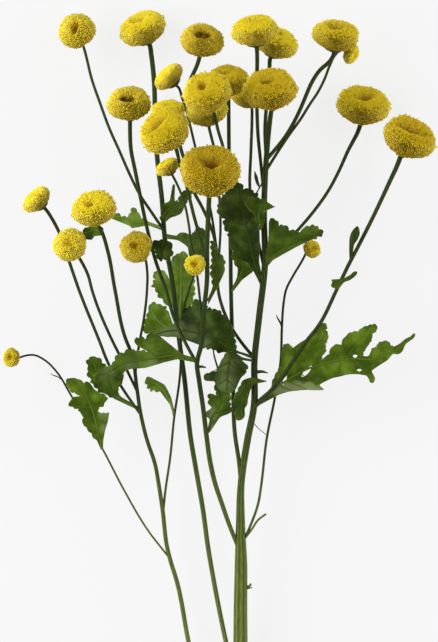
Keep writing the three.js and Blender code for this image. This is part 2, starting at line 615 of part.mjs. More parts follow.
// Points inside the blade, on an even triangular lattice that keeps clear of the edge
function innerPoints(edge) {
  const box = new THREE.Box2().setFromPoints(edge);
  const points = [];
  let odd = 0;
  for (let y = box.min.y; y < box.max.y; y += innerSpacing * Math.sqrt(3) / 2) {
    odd = 1 - odd;
    for (let x = box.min.x + odd * innerSpacing / 2; x < box.max.x; x += innerSpacing) {
      const point = new THREE.Vector2(x, y);
      const clear = edge.every((a, index) => {
        const b = edge[(index + 1) % edge.length];
        return toSegment(point, a, b).distance > innerMargin;
      });
      if (clear && inside(point, edge)) {
        points.push(point);
      }
    }
  }
  return points;
}

// Splits the triangle round each inner point at that point
function addInside(triangles, points, inner) {
  for (const point of inner) {
    const holder = triangles.findIndex((corners) => inside(point, corners.map((corner) => points[corner])));
    const [a, b, c] = triangles[holder];
    const added = points.push(point) - 1;
    triangles.splice(holder, 1, [a, b, added], [b, c, added], [c, a, added]);
  }
}

// Swaps the shared side of two triangles wherever that makes both of them rounder
function relax(triangles, points) {
  const corner = (a, b, c) => {
    const first = points[b].clone().sub(points[a]);
    const second = points[c].clone().sub(points[a]);
    return Math.acos(THREE.MathUtils.clamp(first.dot(second) / first.length() / second.length(), -1, 1));
  };
  let swapped = true;
  for (let round = 0; swapped && round < relaxRounds; round += 1) {
    swapped = false;
    const owners = new Map();
    for (let index = 0; index < triangles.length; index += 1) {
      for (let side = 0; side < 3; side += 1) {
        const [a, b, c] = [0, 1, 2].map((offset) => triangles[index][(side + offset) % 3]);
        owners.set(`${a},${b}`, { index, opposite: c });
      }
    }
    const moved = new Set();
    for (const [key, { index, opposite }] of owners) {
      const [a, b] = key.split(",").map(Number);
      const other = owners.get(`${b},${a}`);
      if (!other || moved.has(index) || moved.has(other.index)) {
        continue;
      }
      if (corner(opposite, a, b) + corner(other.opposite, a, b) > Math.PI + 1e-6) {
        triangles[index] = [opposite, a, other.opposite];
        triangles[other.index] = [other.opposite, b, opposite];
        moved.add(index).add(other.index);
        swapped = true;
      }
    }
  }
}

// Height of a blade: its rib's height, lifted with the distance to either side of the rib
function bladeHeight(point, rib, lift) {
  let nearest = { distance: Infinity };
  for (let index = 0; index + 1 < rib.length; index += 1) {
    const [a, b] = [rib[index], rib[index + 1]];
    const found = toSegment(point, new THREE.Vector2(a.x, a.y), new THREE.Vector2(b.x, b.y));
    if (found.distance < nearest.distance) {
      const turn = found.span.x * (point.y - a.y) - found.span.y * (point.x - a.x);
      nearest = { distance: found.distance, z: THREE.MathUtils.lerp(a.z, b.z, found.share), left: turn > 0 };
    }
  }
  return nearest.z + nearest.distance * (nearest.left ? lift[0] : lift[1]);
}

function leafGeometry({ outline, rib, lift }) {
  const edge = leafEdge(outline);
  const points = [...edge];
  const clockwise = THREE.ShapeUtils.isClockWise(edge);
  const triangles = THREE.ShapeUtils.triangulateShape(edge, []).map((corners) => {
    const reversed = THREE.ShapeUtils.isClockWise(corners.map((corner) => points[corner]));
    return reversed ? corners.toReversed() : corners;
  });
  addInside(triangles, points, innerPoints(edge));
  relax(triangles, points);
  const spine = rib.map(([x, y, z]) => {
    const { x: px, y: py } = seen(x, y, traceHeight);
    return new THREE.Vector3(px, py, z);
  });
  const faceAt = (point, side) => {
    const z = bladeHeight(point, spine, lift) + side * bladeHalf;
    const scale = (eyeHeight - z) / (eyeHeight - traceHeight);
    return new THREE.Vector3(point.x * scale, point.y * scale, z);
  };
  const count = points.length;
  const vertices = [...points.map((point) => faceAt(point, 1)), ...points.map((point) => faceAt(point, -1))];
  const faces = triangles.flatMap(([a, b, c]) => [[a, b, c], [a + count, c + count, b + count]]);
  for (let a = 0; a < edge.length; a += 1) {
    const b = (a + 1) % edge.length;
    const [from, to] = clockwise ? [b, a] : [a, b];
    faces.push([from, from + count, to + count], [from, to + count, to]);
  }
  return closedGeometry(vertices, faces);
}

// Materials by colour
const matt = (color, roughness) => new THREE.MeshStandardMaterial({ color, roughness, metalness: 0 });
const stemGreen = 0x3f5a26;
const floretYellow = 0xd8b81e;
const leafGreens = { bright: 0x5f7f2b, middle: 0x4b6a26, dark: 0x35511f, grey: 0x56693f };

const stemGroup = new THREE.Group();

function addMesh(name, geometry, material) {
  const mesh = new THREE.Mesh(geometry, material);
  mesh.name = name;
  stemGroup.add(mesh);
}

function addHeads() {
  for (const [number, head] of Object.entries(heads)) {
    const kind = head.across > openHeadPixels ? "flower_head" : "flower_bud";
    addMesh(`${kind}_${number.padStart(2, "0")}`, headGeometry(head), matt(floretYellow, 0.8));
  }
}

function addStems() {
  for (const [name, stem] of Object.entries(stems)) {
    const whole = stemSolid(stem);
    const cut = stem.parent ? whole.subtract(stemSolid(stems[stem.parent], seatGap)) : whole;
    addMesh(name, toGeometry(largestBody(cut)), matt(stemGreen, 0.55));
  }
}

function addLeaves() {
  for (const [name, leaf] of Object.entries(leaves)) {
    const blade = toSolid(leafGeometry(leaf)).subtract(stemSolid(stems[leaf.parent], seatGap));
    addMesh(name, toGeometry(largestBody(blade)), matt(leafGreens[leaf.colour], 0.6));
  }
}

addHeads();
addStems();
addLeaves();

// The origin is the middle of the footprint, on the surface that the stem lies on
const box = new THREE.Box3().setFromObject(stemGroup);
const middle = box.getCenter(new THREE.Vector3());
stemGroup.position.set(-middle.x, -middle.y, -box.min.z);

export default stemGroup;
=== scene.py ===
import math

import bpy
import numpy as np
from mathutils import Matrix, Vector, noise


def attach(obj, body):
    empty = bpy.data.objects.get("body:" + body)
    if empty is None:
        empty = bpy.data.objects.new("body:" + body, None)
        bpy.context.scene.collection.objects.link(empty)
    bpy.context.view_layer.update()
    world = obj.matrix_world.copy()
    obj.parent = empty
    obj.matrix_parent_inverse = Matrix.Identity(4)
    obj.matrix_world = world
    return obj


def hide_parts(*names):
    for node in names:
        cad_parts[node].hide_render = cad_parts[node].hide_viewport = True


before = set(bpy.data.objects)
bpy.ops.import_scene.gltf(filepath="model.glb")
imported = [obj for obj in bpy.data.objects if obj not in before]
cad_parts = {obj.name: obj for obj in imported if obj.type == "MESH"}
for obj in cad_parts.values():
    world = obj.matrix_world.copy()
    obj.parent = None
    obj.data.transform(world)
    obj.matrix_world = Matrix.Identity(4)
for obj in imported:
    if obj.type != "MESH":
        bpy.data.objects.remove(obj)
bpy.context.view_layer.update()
mm = 0.001

# the view that the stem was traced in: pixels, and millimetres above the surface
view = {
    "headAcross": 19.7,     # largest head, mm
    "headPixels": 59,       # the same head in the view
    "eye": 1200,
    "traceHeight": 50,
    "middle": (219, 321),
    "shift": (0.4962, 46.7870, -0.4018),  # puts the origin in the middle of the footprint
    "imageSize": (438, 642),
    "sensor": 24.0,         # mm
    "clip": (0.05, 20.0),   # m
}


# a pixel's place in mm, as if it lay at the traced height
def flat(x, y):
    scale = view["headAcross"] / view["headPixels"]
    return np.array(((x - view["middle"][0]) * scale, (view["middle"][1] - y) * scale))


# flat places moved to their real heights along the view's rays
def lift(points, height):
    scale = (view["eye"] - height) / (view["eye"] - view["traceHeight"])
    return np.column_stack([points * scale[:, None], height]) + np.array(view["shift"])


# a traced point's real place in mm
def seen(x, y, z):
    return lift(flat(x, y)[None], np.array([z]))[0]


def unit(v):
    v = np.asarray(v, float)
    return v / np.linalg.norm(v)


def deselect():
    for thing in bpy.context.selected_objects:
        thing.select_set(False)


def pick(thing):
    deselect()
    thing.select_set(True)
    bpy.context.view_layer.objects.active = thing


def editAll(thing):
    pick(thing)
    bpy.ops.object.mode_set(mode="EDIT")
    bpy.ops.mesh.select_all(action="SELECT")


def doneEditing():
    bpy.ops.object.mode_set(mode="OBJECT")


def applyAll(thing):
    pick(thing)
    for modifier in list(thing.modifiers):
        bpy.ops.object.modifier_apply(modifier=modifier.name)


def joinAll(things, name):
    deselect()
    for thing in things:
        thing.select_set(True)
    bpy.context.view_layer.objects.active = things[0]
    if len(things) > 1:
        bpy.ops.object.join()
    things[0].name = name
    things[0].data.name = name
    return things[0]


def readPoints(mesh):
    points = np.empty(len(mesh.vertices) * 3)
    mesh.vertices.foreach_get("co", points)
    return points.reshape(-1, 3)


def writePoints(mesh, points):
    mesh.vertices.foreach_set("co", np.asarray(points, np.float32).ravel())
    mesh.update()


def paint(mesh, name, kind, values):
    layer = mesh.attributes.new(name, kind, "POINT")
    values = np.asarray(values, np.float32).ravel()
    layer.data.foreach_set("color" if kind == "FLOAT_COLOR" else "value", values)


def finishPiece(thing, material, nodes):
    thing.data.materials.clear()
    thing.data.materials.append(material)
    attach(thing, "root")
    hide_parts(*nodes)


def linear(hexColour):
    values = [int(hexColour[i:i + 2], 16) / 255 for i in (1, 3, 5)]
    return [v / 12.92 if v <= 0.04045 else ((v + 0.055) / 1.055) ** 2.4 for v in values] + [1.0]


# adds one node: its sockets take another node's output or a plain value, and stops are a colour ramp's
# places and colours; a colour Mix has its factor at 0 and its two colours at 6 and 7
def addNode(tree, kind, sockets=None, stops=None, **settings):
    node = tree.nodes.new(kind)
    for name, value in settings.items():
        setattr(node, name, value)
    for key, value in (sockets or {}).items():
        if isinstance(value, bpy.types.NodeSocket):
            tree.links.new(value, node.inputs[key])
        else:
            node.inputs[key].default_value = value
    for index, (place, colour) in enumerate(stops or []):
        elements = node.color_ramp.elements
        stop = elements[index] if index < 2 else elements.new(place)
        stop.position = place
        stop.color = linear(colour)
    return node


def newMaterial(name, shaderValues):
    material = bpy.data.materials.new(name)
    material.use_nodes = True
    tree = material.node_tree
    tree.nodes.clear()
    shader = addNode(tree, "ShaderNodeBsdfPrincipled", shaderValues)
    addNode(tree, "ShaderNodeOutputMaterial", {"Surface": shader.outputs[0]})
    return material, tree, shader


# tube florets: thin waxy petals packed upright, so matt and a little see-through; lemon when young,
# ochre when ripe; painted shade makes them ochre in the dimple, deeper low on the head and brown in the
# depth between them; their paler sides are partly their own tone, partly a painted glow of light through
# them
floretLook = {
    "tips": [(0.0, "#f2e434"), (0.25, "#e8d622"), (0.85, "#c4aa12"), (1.0, "#ae960c")],
    # paler tube sides: partly their own tone, partly a painted glow of light shining through the tubes at
    # the fringe
    "sides": [(0.0, "#fff468"), (0.25, "#f9ec58"), (0.85, "#e2d040"), (1.0, "#d2c034")],
    "tipStarts": [(0.8, "#000000"), (0.95, "#ffffff")],
    # painted shade: darker down each tube, near-black at its foot deep between the florets
    "gapShadeAlongTube": [(0.0, "#140c02"), (0.42, "#4a300a"), (0.68, "#c8aa50"), (0.8, "#ffffff")],
    "lowShade": "#e2ddc6",     # painted shade, deeper low on the head
    "chance": [(0.0, "#c8a050"), (0.04, "#e6d8b0"), (0.3, "#f6f0dc"), (1.0, "#ffffff")],
    # painted shade in the dimple
    "dimple": "#b08420",
    "shader": {"Roughness": 0.62, "Specular IOR Level": 0.14, "Subsurface Weight": 0.15,
               "Subsurface Radius": (1.0, 0.8, 0.2), "Subsurface Scale": 0.3 * mm,
               "Sheen Weight": 0.2, "Sheen Roughness": 0.3, "Sheen Tint": linear("#edf3b3")},
}


def floretMaterial():
    material, tree, shader = newMaterial("waxyTubeFlorets", floretLook["shader"])
    # red: base to mouth, for the painted shade down the tubes, green: chance, blue: low to top of the head,
    # for the painted shade low down, alpha: 0 in the dimple, where its shade is painted
    paintedOn = addNode(tree, "ShaderNodeAttribute", attribute_name="floret")
    parts = addNode(tree, "ShaderNodeSeparateColor", {0: paintedOn.outputs[0]})
    ripe = addNode(tree, "ShaderNodeAttribute", attribute_name="ripe")
    tip = addNode(tree, "ShaderNodeValToRGB", {0: ripe.outputs["Fac"]}, floretLook["tips"])
    # paler sides: partly their own tone, partly a painted glow of light through them
    side = addNode(tree, "ShaderNodeValToRGB", {0: ripe.outputs["Fac"]}, floretLook["sides"])
    nearTip = addNode(tree, "ShaderNodeValToRGB", {0: parts.outputs[0]}, floretLook["tipStarts"])
    skin = addNode(tree, "ShaderNodeMix", {0: nearTip.outputs[0], 6: side.outputs[0], 7: tip.outputs[0]},
                   data_type="RGBA")
    # painted shade down the tubes and between them
    tube = addNode(tree, "ShaderNodeValToRGB", {0: parts.outputs[0]}, floretLook["gapShadeAlongTube"])
    chance = addNode(tree, "ShaderNodeValToRGB", {0: parts.outputs[1]}, floretLook["chance"])
    # painted shade low on the head
    height = addNode(tree, "ShaderNodeMix", {0: parts.outputs[2], 6: linear(floretLook["lowShade"]),
                                             7: linear("#ffffff")}, data_type="RGBA")
    colour = skin.outputs[2]
    for layer in (tube.outputs[0], chance.outputs[0], height.outputs[2]):
        layered = addNode(tree, "ShaderNodeMix", {0: 1.0, 6: colour, 7: layer},
                          data_type="RGBA", blend_type="MULTIPLY")
        colour = layered.outputs[2]
    # painted shade in the dimple, full at its depth
    ochre = addNode(tree, "ShaderNodeMix", {0: 1.0, 6: colour, 7: linear(floretLook["dimple"])},
                    data_type="RGBA", blend_type="MULTIPLY")
    final = addNode(tree, "ShaderNodeMix", {0: paintedOn.outputs["Alpha"], 6: ochre.outputs[2], 7: colour},
                    data_type="RGBA")
    tree.links.new(final.outputs[2], shader.inputs["Base Color"])
    return material


# fresh herb stem: ribbed and lightly waxed, so it has a low sheen; paler on the ribs and near the cut
stemLook = {
    "from": -155, "to": 130,  # mm along the stem
    "grooves": [(0.0, "#5e6834"), (0.35, "#465618"), (0.5, "#36460f"), (0.63, "#172304"),
                (0.85, "#1e2d07")],
    "ribs": [(0.0, "#989f62"), (0.35, "#76833c"), (0.5, "#627430"), (0.63, "#324210"), (0.85, "#3b4d14")],
    "streakWidth": 0.5,       # mm; the real ones are half as wide and wouldn't show
    "streakShare": 0.06,      # of their width to their length
    "bump": {"Strength": 0.25, "Distance": 0.05 * mm},
    "streaks": [(0.3, "#c4c4c4"), (0.7, "#ffffff")],
    "shader": {"Roughness": 0.48, "Specular IOR Level": 0.1},
}


def stemMaterial():
    material, tree, shader = newMaterial("freshRibbedStem", stemLook["shader"])
    place = addNode(tree, "ShaderNodeTexCoord")
    split = addNode(tree, "ShaderNodeSeparateXYZ", {0: place.outputs["Object"]})
    height = addNode(tree, "ShaderNodeMapRange",
                     {0: split.outputs[1], 1: stemLook["from"] * mm, 2: stemLook["to"] * mm})
    groove = addNode(tree, "ShaderNodeValToRGB", {0: height.outputs[0]}, stemLook["grooves"])
    ridge = addNode(tree, "ShaderNodeValToRGB", {0: height.outputs[0]}, stemLook["ribs"])
    rib = addNode(tree, "ShaderNodeAttribute", attribute_name="rib")
    skin = addNode(tree, "ShaderNodeMix", {0: rib.outputs["Fac"], 6: groove.outputs[0], 7: ridge.outputs[0]},
                   data_type="RGBA")
    along = addNode(tree, "ShaderNodeMapping",
                    {0: place.outputs["Object"], 3: (1.0, stemLook["streakShare"], 1.0)})
    cloud = addNode(tree, "ShaderNodeTexNoise",
                    {"Vector": along.outputs[0], "Scale": 1 / (stemLook["streakWidth"] * mm), "Detail": 3.0})
    shade = addNode(tree, "ShaderNodeValToRGB", {0: cloud.outputs[0]}, stemLook["streaks"])
    colour = addNode(tree, "ShaderNodeMix", {0: 1.0, 6: skin.outputs[2], 7: shade.outputs[0]},
                     data_type="RGBA", blend_type="MULTIPLY")
    tree.links.new(colour.outputs[2], shader.inputs["Base Color"])
    bump = addNode(tree, "ShaderNodeBump", {"Height": cloud.outputs[0], **stemLook["bump"]})
    tree.links.new(bump.outputs[0], shader.inputs["Normal"])
    return material


# soft herb leaf: matt with a faint downy sheen, veins sunk between raised fields, paler underneath
# each tone is partly the leaf's own green, partly painted light and shade for how lit it lies; the light
# tone is painted light on leaves lying under others
leafTonesLitAndShaded = {
    "light": {"blade": [(0.35, "#4a6614"), (0.5, "#5d7a1e"), (0.65, "#78943a")], "vein": "#788d3c",
              "slot": "leaf_bright"},
    "bright": {"blade": [(0.35, "#334806"), (0.5, "#445a0c"), (0.65, "#5c741a")], "vein": "#53691c",
               "slot": "leaf_bright"},
    "middle": {"blade": [(0.35, "#2a3c07"), (0.5, "#394c0c"), (0.65, "#4b6117")], "vein": "#455917",
               "slot": "leaf_middle"},
    "dark": {"blade": [(0.35, "#1b2a05"), (0.5, "#283809"), (0.65, "#3b4e16")], "vein": "#314211",
             "slot": "leaf_dark"},
}
leafLook = {
    "underside": "#727f50",
    "veinSpacing": 2.4,       # mm between the finest veins
    "veinWidth": 0.16,        # of the spacing
    "veinLean": 0.9,          # how steeply they leave the rib
    "veinStrength": 0.08,
    "bendSize": 6,            # mm between the veins' bends
    "bend": 0.25,             # cm
    "patchSize": 5,           # mm
    "grainSize": 0.45,        # mm, three times the real cell pattern, which wouldn't show
    "bump": {"Strength": 0.5, "Distance": 0.12 * mm},
    "shader": {"Roughness": 0.52, "Specular IOR Level": 0.07, "Sheen Weight": 0.01, "Sheen Roughness": 0.5},
}


def leafMaterial(tone):
    material, tree, shader = newMaterial(f"downyHerbLeaf_{tone}", leafLook["shader"])
    sizes = addNode(tree, "ShaderNodeUVMap", uv_map="rib")  # centimetres along the rib and away from it
    split = addNode(tree, "ShaderNodeSeparateXYZ", {0: sizes.outputs[0]})
    away = addNode(tree, "ShaderNodeMath", {0: split.outputs[1]}, operation="ABSOLUTE")
    lean = addNode(tree, "ShaderNodeMath", {0: away.outputs[0], 1: leafLook["veinLean"]},
                   operation="MULTIPLY")
    run = addNode(tree, "ShaderNodeMath", {0: split.outputs[0], 1: lean.outputs[0]}, operation="SUBTRACT")
    place = addNode(tree, "ShaderNodeTexCoord")
    wobble = addNode(tree, "ShaderNodeTexNoise", {"Vector": place.outputs["Object"],
                                                  "Scale": 1 / (leafLook["bendSize"] * mm)})
    bend = addNode(tree, "ShaderNodeMath", {0: wobble.outputs[0], 1: leafLook["bend"], 2: run.outputs[0]},
                   operation="MULTIPLY_ADD")
    rank = addNode(tree, "ShaderNodeMath", {0: bend.outputs[0], 1: 10 / leafLook["veinSpacing"]},
                   operation="MULTIPLY")
    between = addNode(tree, "ShaderNodeMath", {0: rank.outputs[0], 1: 0.5}, operation="PINGPONG")
    line = addNode(tree, "ShaderNodeMapRange", {0: between.outputs[0], 1: 0.0, 2: leafLook["veinWidth"],
                                                3: leafLook["veinStrength"], 4: 0.0})
    blade = addNode(tree, "ShaderNodeTexNoise", {"Vector": place.outputs["Object"],
                                                 "Scale": 1 / (leafLook["patchSize"] * mm), "Detail": 4.0})
    patches = addNode(tree, "ShaderNodeValToRGB", {0: blade.outputs[0]}, leafTonesLitAndShaded[tone]["blade"])
    rib = addNode(tree, "ShaderNodeAttribute", attribute_name="midrib")
    veins = addNode(tree, "ShaderNodeMath", {0: line.outputs[0], 1: rib.outputs["Fac"]}, operation="MAXIMUM")
    veined = addNode(tree, "ShaderNodeMix", {0: veins.outputs[0], 6: patches.outputs[0],
                                             7: linear(leafTonesLitAndShaded[tone]["vein"])}, data_type="RGBA")
    below = addNode(tree, "ShaderNodeAttribute", attribute_name="underside")
    colour = addNode(tree, "ShaderNodeMix", {0: below.outputs["Fac"], 6: veined.outputs[2],
                                             7: linear(leafLook["underside"])}, data_type="RGBA")
    tree.links.new(colour.outputs[2], shader.inputs["Base Color"])
    grain = addNode(tree, "ShaderNodeTexNoise", {"Vector": place.outputs["Object"],
                                                 "Scale": 1 / (leafLook["grainSize"] * mm), "Detail": 2.0})
    relief = addNode(tree, "ShaderNodeMath", {0: grain.outputs[0], 1: line.outputs[0]}, operation="SUBTRACT")
    bump = addNode(tree, "ShaderNodeBump", {"Height": relief.outputs[0], **leafLook["bump"]})
    tree.links.new(bump.outputs[0], shader.inputs["Normal"])
    return material


print("materials")
florets = floretMaterial()
stemSkin = stemMaterial()
leafSkins = {tone: leafMaterial(tone) for tone in leafTonesLitAndShaded}


# the camera looks straight down from where the stem was traced
def addCamera():
    data = bpy.data.cameras.new("overheadCamera")
    data.sensor_fit = "VERTICAL"
    data.sensor_height = view["sensor"]
    frameHeight = view["imageSize"][1] * view["headAcross"] / view["headPixels"]
    data.lens = view["sensor"] * (view["eye"] - view["traceHeight"]) / frameHeight
    data.clip_start, data.clip_end = view["clip"]
    camera = bpy.data.objects.new("overheadCamera", data)
    shiftX, shiftY, shiftZ = view["shift"]
    camera.location = (shiftX * mm, shiftY * mm, (view["eye"] + shiftZ) * mm)
    bpy.context.scene.collection.objects.link(camera)
    bpy.context.scene.camera = camera


print("camera")
addCamera()

# flower heads: x and y in pixels and height in mm of the middle, radius in pixels, and the way it faces
heads = {
    1: {"at": (77, 31, 16), "radius": 18.5, "facing": (-0.2, 0.4, 0.9)},
    2: {"at": (143, 29, 8.3), "radius": 23.5, "facing": (-0.33, 0.78, 0.53)},
    3: {"at": (202, 41, 40), "radius": 21.5, "facing": (0.12, 0.74, 0.66)},
    4: {"at": (255, 31, 47), "radius": 23, "facing": (-0.1, 0.87, 0.49)},
    5: {"at": (276, 43, 30), "radius": 22, "facing": (0.3, 0.8, 0.5)},
    6: {"at": (336, 36, 29), "radius": 23, "facing": (0.1, 0.87, 0.48)},
    7: {"at": (351, 54, 16), "radius": 10.2, "facing": (0.75, -0.42, 0.5)},
    8: {"at": (363, 106, 8.5), "radius": 26.5, "facing": (0.1, 0.8, 0.58)},
    9: {"at": (409, 138, 40), "radius": 26.5, "facing": (0.3, 0.7, 0.63)},
    10: {"at": (129, 104, 38), "radius": 21.5, "facing": (-0.03, 0.72, 0.69)},
    11: {"at": (169, 77, 32), "radius": 16, "facing": (-0.64, 0.7, 0.3)},
    12: {"at": (168, 112, 44), "radius": 17, "facing": (-0.1, 0.85, 0.52)},
    13: {"at": (207, 93, 62), "radius": 24, "facing": (-0.22, 0.58, 0.78)},
    14: {"at": (165, 131, 58), "radius": 25, "facing": (-0.35, 0.5, 0.79)},
    15: {"at": (227, 81.5, 36), "radius": 21.5, "facing": (-0.08, 0.81, 0.58)},
    16: {"at": (270, 90, 52), "radius": 26.5, "facing": (-0.08, 0.73, 0.68)},
    17: {"at": (250, 95, 22), "radius": 18, "facing": (-0.12, 0.78, 0.61)},
    18: {"at": (207, 112, 45), "radius": 20.5, "facing": (-0.12, 0.85, 0.52)},
    19: {"at": (210, 171.3, 62), "radius": 29.5, "facing": (0.02, 0.6, 0.8)},
    20: {"at": (168, 167, 42), "radius": 12.5, "facing": (-0.45, 0.83, 0.33)},
    21: {"at": (37, 200, 31), "radius": 15.5, "facing": (-0.62, 0.68, 0.38)},
    22: {"at": (94, 209, 42), "radius": 22, "facing": (-0.15, 0.71, 0.68)},
    23: {"at": (70, 245, 36), "radius": 17, "facing": (-0.25, 0.35, 0.9)},
    24: {"at": (136, 247, 38), "radius": 16, "facing": (-0.25, 0.25, 0.93)},
    25: {"at": (195, 265, 50), "radius": 10.5, "facing": (-0.15, 0.3, 0.94)},
    26: {"at": (312, 249, 29), "radius": 9.3, "facing": (0.45, 0.3, 0.84)},
    27: {"at": (11.5, 357.5, 23), "radius": 9.5, "facing": (-0.55, 0.05, 0.83)},
}

headShape = {
    "buds": (7, 20, 25, 26, 27),
    "smallHeads": (11, 21, 23, 24),
    "depth": 0.92,          # of the radius
    "roll": 0.62,           # how round the rim is
    "middle": 0.45,         # of the depth
    "lowestAngle": -62,     # degrees, where the florets end above the cup
    "topSwell": (0.05, 0.6),  # height, and how far from the middle, of the radius
    "waves": [(3, 0.025, 1), (5, 0.02, 2.1)],  # round the rim: how many, how high, and their turn
    "heart": 0.04,          # where the tubes point away from, of the radius
    "coreShare": 0.8,
    "coreFoot": 0.85,       # where the core turns in below, of its side line
    "tubeShare": 0.22,      # tube length, of the radius
    "pitch": (0.56, 0.82),  # mm between closed and open tubes; real ones are closer and wouldn't show
    "smallPitch": (0.46, 0.66),
    "mouthAcross": (0.87, 0.86),  # of the pitch, closed and open
    "lengthChance": (0.018, 0.035),
    "tiltChance": (0.03, 0.06),
    "sizeChance": (0.92, 1.05),
    "lean": 1.2,            # how much the tubes of a fully open head lean outwards
    "leans": (0.3, 0.7),    # of the radius, outwards
    "settle": {"rounds": 12, "near": 8, "apart": 1.08, "push": 0.35},  # florets even out their places
    "rimOpens": (0.5, 0.8),   # of the radius, outwards
    "sideOpens": (0.94, 0.69),  # of the depth, downwards
    "lowOpens": (0.6, 0.4),
    "lowShadeSpan": (0.12, 0.47),   # of the radius, upwards: where the painted shade low on the head gives way
    "calmDepth": 0.15,      # in the dimple, where no floret leans or opens
    "shadeDepth": 0.4,      # where the dimple has its full shade
    "dimpleShade": 0.8,
}

# a tube's foot reaches into the head by a share of its length; an open mouth has notches between lobes;
# red at the rim and in the mouth's middle sets the painted shade there, 0 being the darkest
floretShape = {
    "below": 1.2,
    "closed": {"sides": 5, "dome": 0.08, "notch": 1, "rimRed": 1, "mouthRed": 1},
    "open": {"sides": 10, "dome": -0.24, "notch": 0.86, "rimRed": 0.88, "mouthRed": 0},
}

# each head's own ways: how ripe and how open it is, and the dimple in its top: how deep, how wide and
# where, of the radius, its turn in degrees and how much it widens upwards
headForms = {
    1: {"ripe": 0.4, "open": 0.75, "deep": 0.42, "wide": (0.2, 0.42), "at": (0.0, 0.0), "turn": -8},
    2: {"ripe": 0.1, "deep": 0.36, "wide": (0.28, 0.2), "at": (-0.08, 0.0), "turn": 20},
    3: {"ripe": 0.7, "open": 0.75, "deep": 0.5, "wide": (0.42, 0.34)},
    4: {"ripe": 0.3, "deep": 0.24, "wide": (0.42, 0.14), "at": (0.04, 0.0)},
    5: {"ripe": 0.2, "deep": 0.12, "wide": (0.3, 0.2)},
    6: {"ripe": 0.5, "open": 0.3, "deep": 0.5, "wide": (0.32, 0.26), "at": (-0.05, -0.05)},
    7: {"ripe": 0.0, "deep": 0.2, "wide": (0.3, 0.3)},
    8: {"ripe": 0.45, "deep": 0.46, "wide": (0.34, 0.22), "at": (0.02, -0.08), "turn": 20, "taper": 0.3},
    9: {"ripe": 0.7, "deep": 0.5, "wide": (0.56, 0.24), "at": (-0.04, 0.04), "turn": -34},
    10: {"ripe": 0.45, "open": 0.75, "deep": 0.6, "wide": (0.36, 0.3), "at": (-0.02, -0.04)},
    11: {"ripe": 0.0, "deep": 0.12, "wide": (0.4, 0.4)},
    12: {"ripe": 0.2, "deep": 0.12, "wide": (0.3, 0.2)},
    13: {"ripe": 0.5, "deep": 0.38, "wide": (0.2, 0.24), "at": (-0.1, 0.05), "turn": -15},
    14: {"ripe": 0.45, "deep": 0.24, "wide": (0.42, 0.13), "at": (-0.14, 0.0), "turn": 50},
    15: {"ripe": 0.5, "deep": 0.3, "wide": (0.26, 0.18), "at": (-0.1, 0.0)},
    16: {"ripe": 0.7, "deep": 0.5, "wide": (0.22, 0.18), "at": (-0.1, -0.02)},
    17: {"ripe": 0.3},
    18: {"ripe": 0.2},
    19: {"ripe": 0.9, "deep": 0.46, "wide": (0.36, 0.28), "at": (0.05, 0.06), "taper": 0.6},
    20: {"ripe": 0.1, "deep": 0.1, "wide": (0.3, 0.3)},
    21: {"ripe": 0.0, "deep": 0.1, "wide": (0.4, 0.4)},
    22: {"ripe": 0.15, "deep": 0.28, "wide": (0.22, 0.2), "at": (-0.1, -0.16)},
    23: {"ripe": 0.2, "open": 0.6, "deep": 0.2, "wide": (0.26, 0.26)},
    24: {"ripe": 0.7, "open": 0.6, "deep": 0.36, "wide": (0.3, 0.3)},
    25: {"ripe": 0.2, "deep": 0.4, "wide": (0.42, 0.38)},
    26: {"ripe": 0.2, "deep": 0.25, "wide": (0.4, 0.4)},
    27: {"ripe": 0.4, "deep": 0.42, "wide": (0.4, 0.4)},
}
usualForm = {"ripe": 0.3, "open": 0, "deep": 0.2, "wide": (0.25, 0.2), "at": (0.0, 0.0), "turn": 0,
             "taper": 0.0}
headForms = {number: {**usualForm, **form} for number, form in headForms.items()}


# a head's own axes, right, high and outward, its radius, and the middle of its foot
def headFrame(number):
    head = heads[number]
    x, y, z = head["at"]
    axis = unit(head["facing"])
    radius = head["radius"] * view["headAcross"] / view["headPixels"]
    radius *= (view["eye"] - z) / (view["eye"] - view["traceHeight"])
    base = seen(x, y, z) - headShape["middle"] * headShape["depth"] * radius * axis
    high = unit(np.array((0.0, 1.0, 0.0)) - axis * axis[1])  # up in the view
    return {"axes": np.stack([np.cross(high, axis), high, axis]), "radius": radius, "base": base}


def toWorld(place, points):
    return (place["base"] + (points * place["radius"]) @ place["axes"]) * mm


# the cushion's side line from its top to its foot, in shares of the radius
def cushionLine():
    flatTop = 1 - headShape["roll"]
    line = [(flatTop * i / 12, 1.0) for i in range(12)]
    for i in range(61):
        angle = math.radians(90 + (headShape["lowestAngle"] - 90) * i / 60)
        line.append((flatTop + headShape["roll"] * math.cos(angle), 0.5 + 0.5 * math.sin(angle)))
    line = np.array(line) * (1.0, headShape["depth"])
    swell, reach = headShape["topSwell"]
    line[:, 1] += swell * np.clip(1 - line[:, 0] / reach, 0, 1) ** 1.5
    return line


# 0 at the first limit, 1 at the second
def ramp(values, limits):
    return np.clip((values - limits[0]) / (limits[1] - limits[0]), 0, 1)


# how open the florets are: 0 on the flat top, 1 from the rim down, and 1 all over a fully open head
def openness(out, up, everywhere):
    height = up / headShape["depth"]
    rim = ramp(out, headShape["rimOpens"]) * ramp(height, headShape["sideOpens"])
    return np.maximum(np.maximum(rim, ramp(height, headShape["lowOpens"])), everywhere)


# how many florets lie inside each point of the side line
def floretRanks(line, radius, pitch, everywhere):
    steps = np.linalg.norm(np.diff(line, axis=0), axis=1)
    middles = (line[1:] + line[:-1]) / 2
    spacing = pitch[0] + (pitch[1] - pitch[0]) * openness(middles[:, 0], middles[:, 1], everywhere)
    ring = 2 * math.pi * middles[:, 0] * steps * radius ** 2 / (0.866 * spacing ** 2)  # as honeycomb
    return np.concatenate([[0.0], np.cumsum(ring)])


